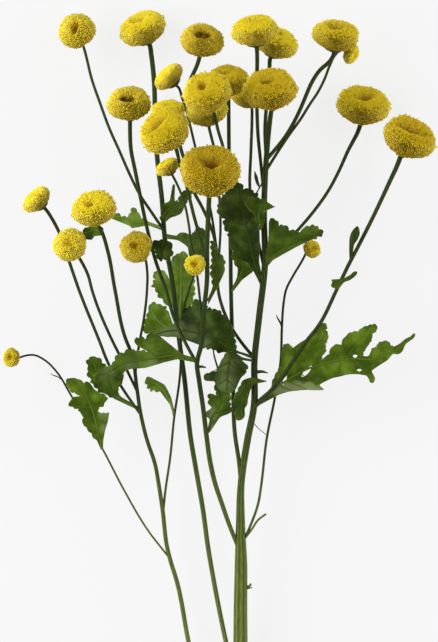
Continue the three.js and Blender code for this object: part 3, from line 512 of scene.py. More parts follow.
# how far the dimple lowers the skin, in shares of the radius
def dimpleDrop(form, x, y):
    turn = math.radians(form["turn"])
    dx = x - form["at"][0]
    dy = y - form["at"][1]
    u = dx * math.cos(turn) + dy * math.sin(turn)
    v = dy * math.cos(turn) - dx * math.sin(turn)
    wide = form["wide"][0] * np.clip(1 + form["taper"] * v / form["wide"][1] / 2, 0.25, 1.6)
    away = np.sqrt((u / wide) ** 2 + (v / form["wide"][1]) ** 2)
    return form["deep"] * np.exp(-away ** 2.6)


# points on a head's skin in its own axes, right, high and outward, in shares of its radius
def cushionPoints(number, out, up, turn):
    form = headForms[number]
    wave = 1 + sum(high * np.sin(times * turn + start * number) for times, high, start in headShape["waves"])
    x = out * np.cos(turn)
    y = out * np.sin(turn)
    return np.stack([x * wave, y * wave, up - dimpleDrop(form, x, y)], axis=1)


# even places for the florets on the side line: how far out, how high and at which turn
def settle(line, radius, pitch, everywhere, rng):
    ranks = floretRanks(line, radius, pitch, everywhere)
    count = int(ranks[-1])
    out = np.interp(np.arange(count) + 0.5, ranks, line[:, 0])
    up = np.interp(np.arange(count) + 0.5, ranks, line[:, 1])
    turn = np.arange(count) * math.pi * (3 - math.sqrt(5)) + rng.normal(0, 0.35, count) * pitch[0] / radius
    middle = headShape["middle"] * headShape["depth"]
    lineAngle = np.arctan2(line[:, 0], line[:, 1] - middle)
    ways = headShape["settle"]
    for step in range(ways["rounds"]):
        points = np.stack([out * np.cos(turn), out * np.sin(turn), up], axis=1)
        if step % 5 == 0:
            gaps = ((points[:, None, :] - points[None, :, :]) ** 2).sum(axis=2)
            near = np.argpartition(gaps, ways["near"], axis=1)[:, :ways["near"] + 1]
        apart = points[:, None, :] - points[near]
        distance = np.maximum(np.linalg.norm(apart, axis=2), 1e-6)
        wanted = pitch[0] + (pitch[1] - pitch[0]) * openness(out, up, everywhere)
        wanted = (wanted / radius * ways["apart"])[:, None]
        push = np.clip(1 - distance / wanted, 0, 1) * (distance > 1e-5) * wanted * ways["push"]
        points = points + (apart / distance[:, :, None] * push[:, :, None]).sum(axis=1)
        turn = np.arctan2(points[:, 1], points[:, 0])
        angle = np.arctan2(np.hypot(points[:, 0], points[:, 1]), points[:, 2] - middle)
        out = np.interp(angle, lineAngle, line[:, 0])
        up = np.interp(angle, lineAngle, line[:, 1])
    return out, up, turn


# one tube floret a unit long: a closed one ends in a dome, an open one in lobes round a hollow
def makeFloret(sides, dome, notch, rimRed, mouthRed):
    deselect()
    below = floretShape["below"]
    bpy.ops.mesh.primitive_cone_add(vertices=sides, radius1=0, radius2=0.5, depth=1 + below,
                                    location=(0, 0, (1 - below) / 2), end_fill_type="NGON")
    floret = bpy.context.object
    editAll(floret)
    bpy.ops.mesh.select_all(action="DESELECT")
    bpy.ops.mesh.select_face_by_sides(number=3, type="GREATER")
    bpy.ops.mesh.poke(offset=dome)
    bpy.ops.mesh.select_all(action="SELECT")
    bpy.ops.mesh.normals_make_consistent(inside=False)
    doneEditing()
    points = readPoints(floret.data).copy()
    points[:, 2] += (1 - below) / 2
    out = np.hypot(points[:, 0], points[:, 1])
    turn = np.round(np.arctan2(points[:, 1], points[:, 0]) / (2 * math.pi) * sides).astype(int)
    between = (points[:, 2] > 0.9) & (out > 0.1) & (turn % 2 == 1)
    points[between] *= (notch, notch, 0.94 + 0.06 * notch)
    # red: how far up the tube, which sets the painted shade darkening its foot and an open mouth's hollow
    red = np.clip(points[:, 2], 0, rimRed)
    red[(out < 0.1) & (points[:, 2] > 0)] = mouthRed
    faces = [tuple(polygon.vertices) for polygon in floret.data.polygons]
    bpy.data.objects.remove(floret)
    return points, red, faces


# many copies of a small model as one mesh, each with its own origin and three axes, in metres
def copyMany(name, model, frames, chance, onTop, level):
    points, red, faces = model
    origin, across, along, outward = frames
    count = len(origin)
    spread = (origin[:, None, :] + points[None, :, 0:1] * across[:, None, :]
              + points[None, :, 1:2] * along[:, None, :] + points[None, :, 2:3] * outward[:, None, :])
    corners = np.concatenate([np.array(face) for face in faces])
    sizes = np.array([len(face) for face in faces])
    mesh = bpy.data.meshes.new(name)
    mesh.vertices.add(count * len(points))
    mesh.loops.add(count * len(corners))
    mesh.polygons.add(count * len(faces))
    mesh.vertices.foreach_set("co", spread.astype(np.float32).ravel())
    steps = np.arange(count)[:, None] * len(points)
    mesh.loops.foreach_set("vertex_index", (corners[None, :] + steps).astype(np.int32).ravel())
    starts = np.concatenate([[0], np.cumsum(sizes)[:-1]])
    starts = starts[None, :] + np.arange(count)[:, None] * len(corners)
    mesh.polygons.foreach_set("loop_start", starts.astype(np.int32).ravel())
    mesh.update(calc_edges=True)
    colours = np.ones((count, len(points), 4))
    colours[:, :, 0] = red[None, :]
    colours[:, :, 1] = chance[:, None]
    colours[:, :, 2] = onTop[:, None]
    colours[:, :, 3] = level[:, None]
    paint(mesh, "floret", "FLOAT_COLOR", colours)
    thing = bpy.data.objects.new(name, mesh)
    bpy.context.scene.collection.objects.link(thing)
    return thing


# the head's inside, seen between the tubes, painted near-black as the shade deep between them
def makeCore(number, place):
    deselect()
    bpy.ops.mesh.primitive_uv_sphere_add(segments=32, ring_count=20, radius=1, location=(0, 0, 0))
    core = bpy.context.object
    ball = readPoints(core.data)
    line = cushionLine()
    share = np.arccos(np.clip(ball[:, 2], -1, 1)) / math.pi
    end = headShape["coreFoot"]
    rank = np.clip(share / end, 0, 1) ** 1.2 * (len(line) - 1)
    out = np.interp(rank, np.arange(len(line)), line[:, 0])
    up = np.interp(rank, np.arange(len(line)), line[:, 1])
    foot = share > end
    out[foot] = line[-1, 0] * (1 - share[foot]) / (1 - end)
    heart = np.array((0, 0, headShape["heart"]))
    skin = cushionPoints(number, out, up, np.arctan2(ball[:, 1], ball[:, 0]))
    skin = heart + (skin - heart) * headShape["coreShare"]
    skin[foot, 2] = line[-1, 1] * 0.5
    writePoints(core.data, toWorld(place, skin))
    # painted shade: the core takes the darkest shade of the tubes' feet
    paint(core.data, "floret", "FLOAT_COLOR", np.tile((0.0, 0.6, 1.0, 1.0), len(ball)))
    return core


def makeHead(number):
    rng = np.random.default_rng(100 + number)
    place = headFrame(number)
    line = cushionLine()
    radius = place["radius"]
    small = number in headShape["buds"] + headShape["smallHeads"]
    form = headForms[number]
    pitch = headShape["smallPitch" if small or form["open"] else "pitch"]
    out, up, turn = settle(line, radius, pitch, form["open"], rng)
    count = len(out)
    skin = cushionPoints(number, out, up, turn)
    # each tube points away from the heart, a little by chance, and leans out where the head is fully open
    away = skin - (0, 0, headShape["heart"])
    reach = np.linalg.norm(away, axis=1)[:, None]
    wide = openness(out, up, form["open"])
    tilt, uneven = (low + (high - low) * wide[:, None] for low, high in
                    (headShape["tiltChance"], headShape["lengthChance"]))
    depth = dimpleDrop(form, out * np.cos(turn), out * np.sin(turn))
    calm = 1 - np.clip(depth / headShape["calmDepth"], 0, 1)
    lean = headShape["lean"] * form["open"] * ramp(out, headShape["leans"]) * calm
    aside = np.stack([np.cos(turn) * lean, np.sin(turn) * lean, 0 * lean], axis=1)
    outward = away / reach + aside + rng.normal(0, 1, away.shape) * tilt
    outward /= np.linalg.norm(outward, axis=1)[:, None]
    length = np.minimum(headShape["tubeShare"], 0.6 * reach)
    skin = skin + outward * rng.normal(0, 1, (count, 1)) * uneven
    foot = skin - outward * length
    # its other two axes, and how wide its mouth is
    guide = np.where(np.abs(outward[:, 2:3]) < 0.9, (0, 0, 1.0), (1.0, 0, 0))
    across = np.cross(guide, outward)
    across /= np.linalg.norm(across, axis=1)[:, None]
    along = np.cross(outward, across)
    mouth = headShape["mouthAcross"]
    size = (pitch[0] + (pitch[1] - pitch[0]) * wide) * (mouth[0] + (mouth[1] - mouth[0]) * wide) * mm
    size = (size * rng.uniform(*headShape["sizeChance"], count))[:, None]
    axes = place["axes"]
    tube = outward @ axes * length * radius * mm
    frames = (toWorld(place, foot), across @ axes * size, along @ axes * size, tube)
    chance = rng.uniform(0, 1, count)
    # painted shade: darker low on the head and in the dimple
    onTop = ramp(up, headShape["lowShadeSpan"])
    level = 1 - np.clip(depth / headShape["shadeDepth"], 0, 1) * headShape["dimpleShade"]
    # closed tubes on top and open ones lower down, mixed where one kind gives way to the other
    name = f"floretHead{number:02d}"
    isOpen = wide * calm > rng.uniform(0.1, 0.9, count)
    parts = []
    for model, chosen in ((closedFloret, ~isOpen), (openFloret, isOpen)):
        group = [part[chosen] for part in frames]
        parts.append(copyMany(name, model, group, chance[chosen], onTop[chosen], level[chosen]))
    head = joinAll(parts + [makeCore(number, place)], name)
    paint(head.data, "ripe", "FLOAT", np.full(len(head.data.vertices), form["ripe"]))
    return head, count


print("flower heads")
closedFloret = makeFloret(**floretShape["closed"])
openFloret = makeFloret(**floretShape["open"])
floretCount = 0
for number in heads:
    head, count = makeHead(number)
    floretCount += count
    node = ("flower_bud_" if number in headShape["buds"] else "flower_head_") + f"{number:02d}"
    finishPiece(head, florets, [node])
print("florets:", floretCount)

# stems: each stalk's radii in mm from its head down, and its points, in pixels and mm above the surface
stems = {
    "stem_main": {
        4: {"radii": (0.72, 0.5), "path": [
            (257.2, 56, 41.8), (257, 77, 38), (257, 110, 36), (258, 135, 36.5), (261, 165, 37.5),
            (264, 196, 38.1)]},
        5: {"radii": (0.72, 0.55), "path": [
            (269.6, 66, 28), (269, 80, 31.6), (267, 100, 35), (265, 130, 37), (266, 156, 39.3)]},
        16: {"radii": (0.7, 0.7, 0.8, 0.85, 0.95, 1, 1.05, 1.05, 1.05, 1.1, 1.15, 1.15, 1.5, 2.1, 2.25,
                       2.35, 2.4, 2.45, 2.5), "path": [
            (270.2, 118, 45), (267, 150, 39.5), (265, 180, 38.5), (264, 215, 37.5), (265, 262, 36),
            (259, 318, 33), (254.5, 360, 30), (254, 406, 27), (247.5, 440, 24), (241, 486, 20),
            (240.5, 524, 17), (241, 566, 14), (240.5, 610, 11.6), (240.5, 642, 10), (240.5, 720, 7.4),
            (240, 810, 4.8), (239, 900, 3.05)]},
        17: {"radii": (0.5, 0.5), "path": [
            (252, 118, 19.8), (251, 150, 23), (250, 190, 27), (254, 220, 30), (259, 245, 33),
            (264.5, 270, 35.6)]},
        "stub": {"radii": (0.35, 0.35), "path": [
            (266, 514, 19), (258, 520, 18), (252, 529, 17), (242, 542, 15.8)]},
    },
    "stem_back_left": {
        1: {"radii": (0.45, 0.5), "path": [
            (84.5, 50, 9.8), (92, 80, 11.6), (100, 103, 13.2), (110, 130, 14), (119, 150, 14),
            (130, 175, 13), (140, 195, 12), (150, 210, 11), (165, 232, 8.6)]},
        2: {"radii": (0.8, 0.8, 0.8, 0.8, 0.75), "path": [
            (151.2, 54, 4.7), (154, 80, 6.3), (155, 110, 7), (157, 155, 8), (162, 200, 8.5),
            (165, 240, 8.5), (172, 280, 8.5), (176, 312, 8.5), (180, 346, 8.5), (184, 375, 8.5),
            (191, 440, 8.5), (197, 475, 8.5), (203, 510, 8.5), (208, 547, 8.5), (214, 582, 8.5),
            (226, 642, 8.5), (240, 700, 8)]},
    },
    "stem_front": {
        10: {"radii": (0.72, 0.6, 0.55), "path": [
            (130, 129, 33), (131, 150, 31), (135, 170, 30), (140, 195, 29), (147, 228, 28),
            (156, 262, 28), (166, 290, 29), (174, 318, 31), (184, 340, 34), (197, 364, 36.4)]},
        12: {"radii": (0.45, 0.45), "path": [
            (170.8, 133, 41.4), (175, 147, 43.4), (181, 168, 46.6)]},
        14: {"radii": (0.6, 0.55), "path": [
            (176, 148, 50), (180, 165, 47), (185, 180, 46), (190, 200, 45), (195, 220, 44),
            (201, 240, 43.6), (207, 264, 45)]},
        19: {"radii": (0.8, 0.75, 0.75, 0.8, 0.7), "path": [
            (209, 200, 53), (207, 250, 47), (207, 280, 44), (204, 310, 41), (201, 346, 38),
            (197, 363, 36.5), (199, 380, 34), (203, 407, 31), (207, 440, 27), (210, 461, 24.5),
            (215, 483, 22), (222, 504, 20), (229, 524, 18), (239, 549, 15.6)]},
        20: {"radii": (0.4, 0.4), "path": [
            (176.5, 183, 40.1), (184, 202, 40.2), (189, 226, 40.5), (191, 242, 40.6), (196, 268, 41),
            (200, 300, 41), (202.5, 328, 39.4)]},
    },
    "stem_back": {
        13: {"radii": (0.55, 0.5), "path": [
            (214, 113, 54), (218, 130, 49), (224, 150, 42.5), (229.5, 178, 35.4)]},
        15: {"radii": (0.6, 0.65, 0.7), "path": [
            (228.6, 104, 32.2), (229, 150, 35), (229.5, 180, 35), (230, 215, 30), (230.5, 250, 26),
            (231, 290, 25), (232, 330, 24), (233, 380, 23), (235, 435, 22), (239, 462, 21.8),
            (240.6, 478, 20.8)]},
    },
    "stem_left": {
        21: {"radii": (0.6, 0.45), "path": [
            (51, 217, 28.3), (59, 232, 27.6), (69, 261, 27), (79, 290, 26.8), (99, 340, 26.5),
            (109, 365, 26), (121, 386, 25), (139.5, 413, 22.8)]},
        22: {"radii": (0.65, 0.6, 0.6, 0.65, 0.7, 0.75, 0.8), "path": [
            (101.5, 231, 36.2), (108, 252, 35), (115, 290, 32.5), (126, 340, 28.5), (131, 352, 27.5),
            (137, 389, 24.5), (140, 410, 23), (147, 440, 20.5), (155, 464, 18.5), (159, 486, 17),
            (162.6, 510, 15), (167.5, 549, 12.6), (170, 559, 12), (177, 582, 10.8), (188.6, 642, 8.5),
            (205, 710, 6.8), (224, 775, 5.6), (239.5, 828, 4.1)]},
        23: {"radii": (0.55, 0.45), "path": [
            (79, 257.5, 29.8), (88, 275, 30), (92, 290, 30), (112, 340, 27.5), (121, 358, 26),
            (136.5, 390, 24.5)]},
        24: {"radii": (0.45, 0.45), "path": [
            (145, 258, 31), (147.2, 271, 30), (147, 290, 29), (144, 318, 28), (139, 345, 27),
            (135, 376, 25.7)]},
        25: {"radii": (0.4, 0.4), "path": [
            (193, 278, 42), (189, 290, 36), (184, 307, 30), (181, 335, 23), (181, 355, 20),
            (180, 375, 18), (174, 419, 17), (170, 459, 16), (165.5, 490, 15.5), (163, 514, 14.8)]},
        27: {"radii": (0.35, 0.35, 0.35), "path": [
            (24, 356, 19.6), (34, 355, 20), (46, 361, 20), (56, 371, 19), (72, 397, 18), (102, 448, 16),
            (124, 490, 14.5), (147, 529, 13), (171, 560, 11.8)]},
    },
    "stem_middle": {
        3: {"radii": (0.72, 0.6, 0.5, 0.55), "path": [
            (197.5, 64, 35.8), (190, 81, 36.4), (184, 105, 37), (180, 145, 36), (185, 162, 35.5),
            (194, 192, 35), (203, 209, 34.5), (214, 237, 34), (218, 262, 33), (218, 289, 31),
            (229, 323, 29), (245, 347, 29.2), (254, 357.5, 29.8)]},
        11: {"radii": (0.45, 0.4), "path": [
            (181.5, 96, 29.6), (186.5, 111, 29), (191, 129, 29), (196, 150, 30), (205, 185, 31),
            (211, 212, 32), (218, 258, 33.2)]},
        18: {"radii": (0.5, 0.4), "path": [
            (210.6, 134, 40.8), (215, 152, 39.4), (218, 180, 38), (219.5, 200, 37), (220.5, 225, 35.6),
            (218.3, 266, 32.7)]},
    },
    "stem_right_top": {
        6: {"radii": (0.7, 0.6), "path": [
            (330, 61, 26.4), (320, 70, 27.4), (312, 82, 29), (305, 98, 31), (299, 112, 33),
            (285, 137, 37), (268, 158, 39.2)]},
        7: {"radii": (0.4, 0.5), "path": [
            (336, 54, 14.6), (330, 65, 16.4), (325, 78, 19.5), (318, 92, 23.5), (310, 104, 27.5),
            (300, 120, 32.5), (288, 136.5, 36.8), (279, 150, 38), (266.5, 170, 38.8)]},
    },
    "stem_right_upper": {
        8: {"radii": (0.82, 0.55, 0.5), "path": [
            (357.8, 132, 4.9), (352.9, 141.5, 7.8), (348.4, 150, 11.4), (339.4, 170, 16), (330, 188, 20),
            (310, 216, 26.5), (297, 231, 29.5), (280, 250, 33), (264, 268, 35.7)]},
    },
    "stem_right_lower": {
        9: {"radii": (0.9, 0.65, 0.6, 0.7), "path": [
            (397.4, 165, 35.4), (390, 181, 36.2), (375, 213, 37), (360, 243, 36.5), (347, 268, 36),
            (337, 289, 35), (317, 328, 33), (309, 338, 32), (276, 385, 30), (252.5, 409, 27.4)]},
    },
    "stem_right_bud": {
        26: {"radii": (0.4, 0.45), "path": [
            (302, 261, 25), (293, 276, 24.2), (286, 290, 22), (283.5, 304, 21), (282, 325, 19),
            (280.7, 360, 17), (275, 397, 16), (267, 437, 16), (261, 487, 16), (259, 500, 16.2),
            (249, 529, 16.5), (241.5, 545, 15.6)]},
    },
}

stemShape = {
    "ribs": 8,
    "ribHeight": 0.06,      # of the radius
    "profilePoints": 32,
    "ringSpacing": 1.6,     # mm
    "stalkLead": 1.4,       # mm straight down from a head
    "neck": 0.3,            # mm from the head's foot to the stalk's end, and the next value of its radius
    "neckShare": 0.255,
    "smoothBelow": 50,      # degrees
}

# the cup under a head, in shares of its radius: the bowl's rings, height and radius, and its rows of
# bracts, with their number and their tilt in degrees too
cupShape = {
    "rings": [(-0.34, 0.1), (-0.26, 0.26), (-0.16, 0.42), (-0.04, 0.52), (0.06, 0.5)],
    "sides": 24,
    "bowlRib": 0.2,
    "rows": [(-0.24, 0.3, 11, 35), (-0.14, 0.42, 14, 50), (-0.04, 0.5, 16, 62)],
    "bract": (0.17, 0.34, 0.035),  # width, length and thickness
}


# a smooth line through points, and its widths, spread evenly over the points
def smoothLine(points, radii, spacing):
    points = np.array(points, float)
    gaps = np.linalg.norm(np.diff(points, axis=0), axis=1)
    knots = np.concatenate([[0.0], np.cumsum(gaps)])
    slopes = np.gradient(points, knots, axis=0)
    samples = [np.linspace(a, b, max(2, math.ceil((b - a) / spacing)), endpoint=False)
               for a, b in zip(knots, knots[1:])]
    samples = np.concatenate(samples + [knots[-1:]])
    span = np.clip(np.searchsorted(knots, samples, "right") - 1, 0, len(gaps) - 1)
    t = ((samples - knots[span]) / gaps[span])[:, None]
    reach = gaps[span][:, None]
    line = ((2 * t ** 3 - 3 * t ** 2 + 1) * points[span] + (t ** 3 - 2 * t ** 2 + t) * reach * slopes[span]
            + (3 * t ** 2 - 2 * t ** 3) * points[span + 1] + (t ** 3 - t ** 2) * reach * slopes[span + 1])
    ranks = (span + t[:, 0]) / (len(points) - 1) * (len(radii) - 1)
    return line, np.interp(ranks, np.arange(len(radii)), radii)


def makeProfile(name, corners):
    curve = bpy.data.curves.new(name, "CURVE")
    curve.dimensions = "2D"
    spline = curve.splines.new("POLY")
    spline.points.add(len(corners) - 1)
    for point, (x, y) in zip(spline.points, corners):
        point.co = (x, y, 0, 1)
    spline.use_cyclic_u = True
    profile = bpy.data.objects.new(name, curve)
    bpy.context.scene.collection.objects.link(profile)
    return profile


# a curve along a line, in mm, bevelled with a profile and closed at both ends, as a mesh
def sweep(name, line, widths, profile, twist="MINIMUM"):
    curve = bpy.data.curves.new(name, "CURVE")
    curve.dimensions = "3D"
    curve.bevel_mode = "OBJECT"
    curve.bevel_object = profile
    curve.use_fill_caps = True
    curve.twist_mode = twist
    spline = curve.splines.new("POLY")
    spline.points.add(len(line) - 1)
    for point, place, width in zip(spline.points, line, widths):
        point.co = (*(place * mm), 1)
        point.radius = width * mm
    tube = bpy.data.objects.new(name, curve)
    bpy.context.scene.collection.objects.link(tube)
    pick(tube)
    bpy.ops.object.convert(target="MESH")
    tube = bpy.context.object
    editAll(tube)
    bpy.ops.mesh.remove_doubles(threshold=1e-6)
    bpy.ops.mesh.select_all(action="SELECT")
    bpy.ops.mesh.normals_make_consistent(inside=False)
    doneEditing()
    return tube


# how proud each point of a stem stands of its middle line: 0 in a groove, 1 on a rib
def paintRibs(tube, line, widths):
    points = readPoints(tube.data) / mm
    away = np.linalg.norm(points[:, None, :] - line[None, :, :], axis=2)
    nearest = away.argmin(axis=1)
    share = away[np.arange(len(points)), nearest] / widths[nearest]
    height = stemShape["ribHeight"]
    paint(tube.data, "rib", "FLOAT", np.clip((share - 1 + height) / (2 * height), 0, 1))


# green cup under a head: a bowl, with rows of small pointed bracts laid over it
def makeCup(number):
    place = headFrame(number)
    deselect()
    height, out = cupShape["rings"][0]
    bpy.ops.mesh.primitive_circle_add(vertices=cupShape["sides"], radius=out, fill_type="NGON",
                                      location=(0, 0, height))
    bowl = bpy.context.object
    editAll(bowl)
    for (low, narrow), (high, wide) in zip(cupShape["rings"], cupShape["rings"][1:]):
        bpy.ops.mesh.extrude_region_move(TRANSFORM_OT_translate={"value": (0, 0, high - low)})
        bpy.ops.transform.resize(value=(wide / narrow, wide / narrow, 1))
    bpy.ops.mesh.select_all(action="SELECT")
    bpy.ops.mesh.normals_make_consistent(inside=False)
    doneEditing()
    pick(bowl)
    bpy.ops.object.transform_apply()
    writePoints(bowl.data, toWorld(place, readPoints(bowl.data)))
    paint(bowl.data, "rib", "FLOAT", np.full(len(bowl.data.vertices), cupShape["bowlRib"]))
    frames = [[], [], [], []]
    width, length, thick = cupShape["bract"]
    for row, (height, out, count, tilt) in enumerate(cupShape["rows"]):
        for rank in range(count):
            turn = (rank + 0.5 * row) * 2 * math.pi / count
            outward = np.array((math.cos(turn), math.sin(turn), 0))
            lean = math.radians(tilt)
            along = outward * math.cos(lean) + np.array((0, 0, math.sin(lean)))
            across = np.array((-math.sin(turn), math.cos(turn), 0))
            proud = np.cross(across, along)
            frames[0].append(outward * out + np.array((0, 0, height)))
            frames[1].append(across * width)
            frames[2].append(along * length)
            frames[3].append(proud * thick)
    scale = place["radius"] * mm
    origin, across, along, proud = [np.array(part) for part in frames]
    axes = place["axes"]
    world = (toWorld(place, origin), across @ axes * scale, along @ axes * scale, proud @ axes * scale)
    plain = np.ones(len(origin))
    bracts = copyMany("bracts", bractModel, world, plain, plain, plain)
    bracts.data.attributes.remove(bracts.data.attributes["floret"])
    edge = np.tile(np.abs(bractModel[0][:, 0]) * 2, len(origin))
    paint(bracts.data, "rib", "FLOAT", edge)
    return [bowl, bracts]


# small sprouts on the stems and on a leaf: bracts, broken stubs and thin side stalks, with points as in
# the stems, their radii in mm from the first point to the last, and how flat they are
sproutShape = {"sides": 10, "ringSpacing": 0.4, "rib": 0.5}
sprouts = {
    "stem_main": [
        {"path": [(263, 181, 40.6), (259.6, 187.5, 41.4), (256, 194, 41.6), (254.5, 197, 41.5)],
         "radii": (0.25, 0.22)},
        {"path": [(259.8, 188, 41.4), (257.6, 183, 42.2), (256, 177, 42.6), (254.6, 171, 42.2)],
         "radii": (0.2, 0.55, 0.6, 0.12), "flat": 0.3},
        {"path": [(253.6, 423, 25), (259, 429, 22.5), (264, 433, 19.5), (267.4, 436, 16.4)],
         "radii": (0.16, 0.13, 0.12)},
        {"path": [(246, 587, 12.9), (249.5, 586, 13.1), (251, 583.6, 13.3)], "radii": (0.5, 0.42, 0.3)},
        {"path": [(246.6, 588.6, 12.8), (250, 588, 13), (252.4, 587.4, 13.2)], "radii": (0.3, 0.16)},
        {"path": [(256.6, 372, 29.6), (262, 371.6, 30.4), (268, 373, 30.2)],
         "radii": (0.6, 0.5, 0.15), "flat": 0.35}],
    "stem_right_bud": [
        {"path": [(282, 330, 18.9), (280.8, 324, 19.6), (277.6, 318, 20.2), (276.2, 315, 20)],
         "radii": (0.22, 0.32, 0.12), "flat": 0.4}],
    "stem_left": [
        {"path": [(62, 380, 18.5), (57, 376.5, 19.4), (53, 375.2, 19.8), (50.5, 373.4, 19.6)],
         "radii": (0.16, 0.2, 0.08), "flat": 0.5}],
    "stem_front": [
        {"path": [(198.5, 367, 36.2), (202, 366.6, 37), (206, 367.6, 37.2)],
         "radii": (0.5, 0.45, 0.2), "flat": 0.5}],
    "leaf_centre_hanging": [
        {"path": [(220, 375, 33.6), (216.5, 364, 32.4), (213.5, 352, 29.6), (213, 344, 28)],
         "radii": (0.35, 0.3, 0.15)}],
}


def makeSprout(name, sprout):
    flatness = sprout.get("flat", 1)
    turns = np.arange(sproutShape["sides"]) * 2 * math.pi / sproutShape["sides"]
    profile = makeProfile("sproutSection", [(math.cos(a), flatness * math.sin(a)) for a in turns])
    points = [seen(*point) for point in sprout["path"]]
    line, widths = smoothLine(points, sprout["radii"], sproutShape["ringSpacing"])
    tube = sweep(f"{name}_sprout", line, widths, profile, "Z_UP")
    bpy.data.objects.remove(profile)
    return tube


# one bract: a pointed scale with a raised middle, a unit wide, long and thick
def makeBract():
    deselect()
    bpy.ops.mesh.primitive_grid_add(x_subdivisions=2, y_subdivisions=4, size=1, location=(0, 0, 0))
    bract = bpy.context.object
    points = readPoints(bract.data)
    share = points[:, 1] + 0.5
    points[:, 0] *= np.interp(share, (0, 0.3, 0.75, 1), (0.6, 1.0, 0.8, 0.12))  # widest low, pointed above
    points[:, 2] = -3 * (share - 0.3) ** 2 + (0.5 - np.abs(points[:, 0])) * 1.5  # bent back, with a keel
    points[:, 1] = share
    writePoints(bract.data, points)
    solid = bract.modifiers.new("wall", "SOLIDIFY")
    solid.thickness = 1.0
    applyAll(bract)
    points = readPoints(bract.data).copy()
    faces = [tuple(polygon.vertices) for polygon in bract.data.polygons]
    bpy.data.objects.remove(bract)
    return points, points[:, 2], faces


# one stem with its stalks, the cups under their heads, and its sprouts
def makeStem(name, routes):
    parts = []
    for route, stalk in routes.items():
        points = [seen(*point) for point in stalk["path"]]
        if route in heads:
            place = headFrame(route)
            axis = place["axes"][2]
            neck = place["base"] - axis * (stemShape["neck"] + stemShape["neckShare"] * place["radius"])
            points = [neck, neck - axis * stemShape["stalkLead"]] + points
            parts += makeCup(route)
        line, widths = smoothLine(points, stalk["radii"], stemShape["ringSpacing"])
        tube = sweep(f"{name}_{route}", line, widths, stemProfile)
        paintRibs(tube, line, widths)
        parts.append(tube)
    for sprout in sprouts.get(name, []):
        parts.append(makeSprout(name, sprout))
        paint(parts[-1].data, "rib", "FLOAT", np.full(len(parts[-1].data.vertices), sproutShape["rib"]))
    return joinAll(parts, f"ribbed_{name}")


print("stems")
turns = [2 * math.pi * i / stemShape["profilePoints"] for i in range(stemShape["profilePoints"])]
ribbed = [1 + stemShape["ribHeight"] * math.cos(stemShape["ribs"] * turn) for turn in turns]
corners = [(r * math.cos(a), r * math.sin(a)) for r, a in zip(ribbed, turns)]
stemProfile = makeProfile("ribbedStem", corners)
bractModel = makeBract()
for name, routes in stems.items():
    stem = makeStem(name, routes)
    pick(stem)
    bpy.ops.object.shade_smooth_by_angle(angle=math.radians(stemShape["smoothBelow"]))
    finishPiece(stem, stemSkin, [name])

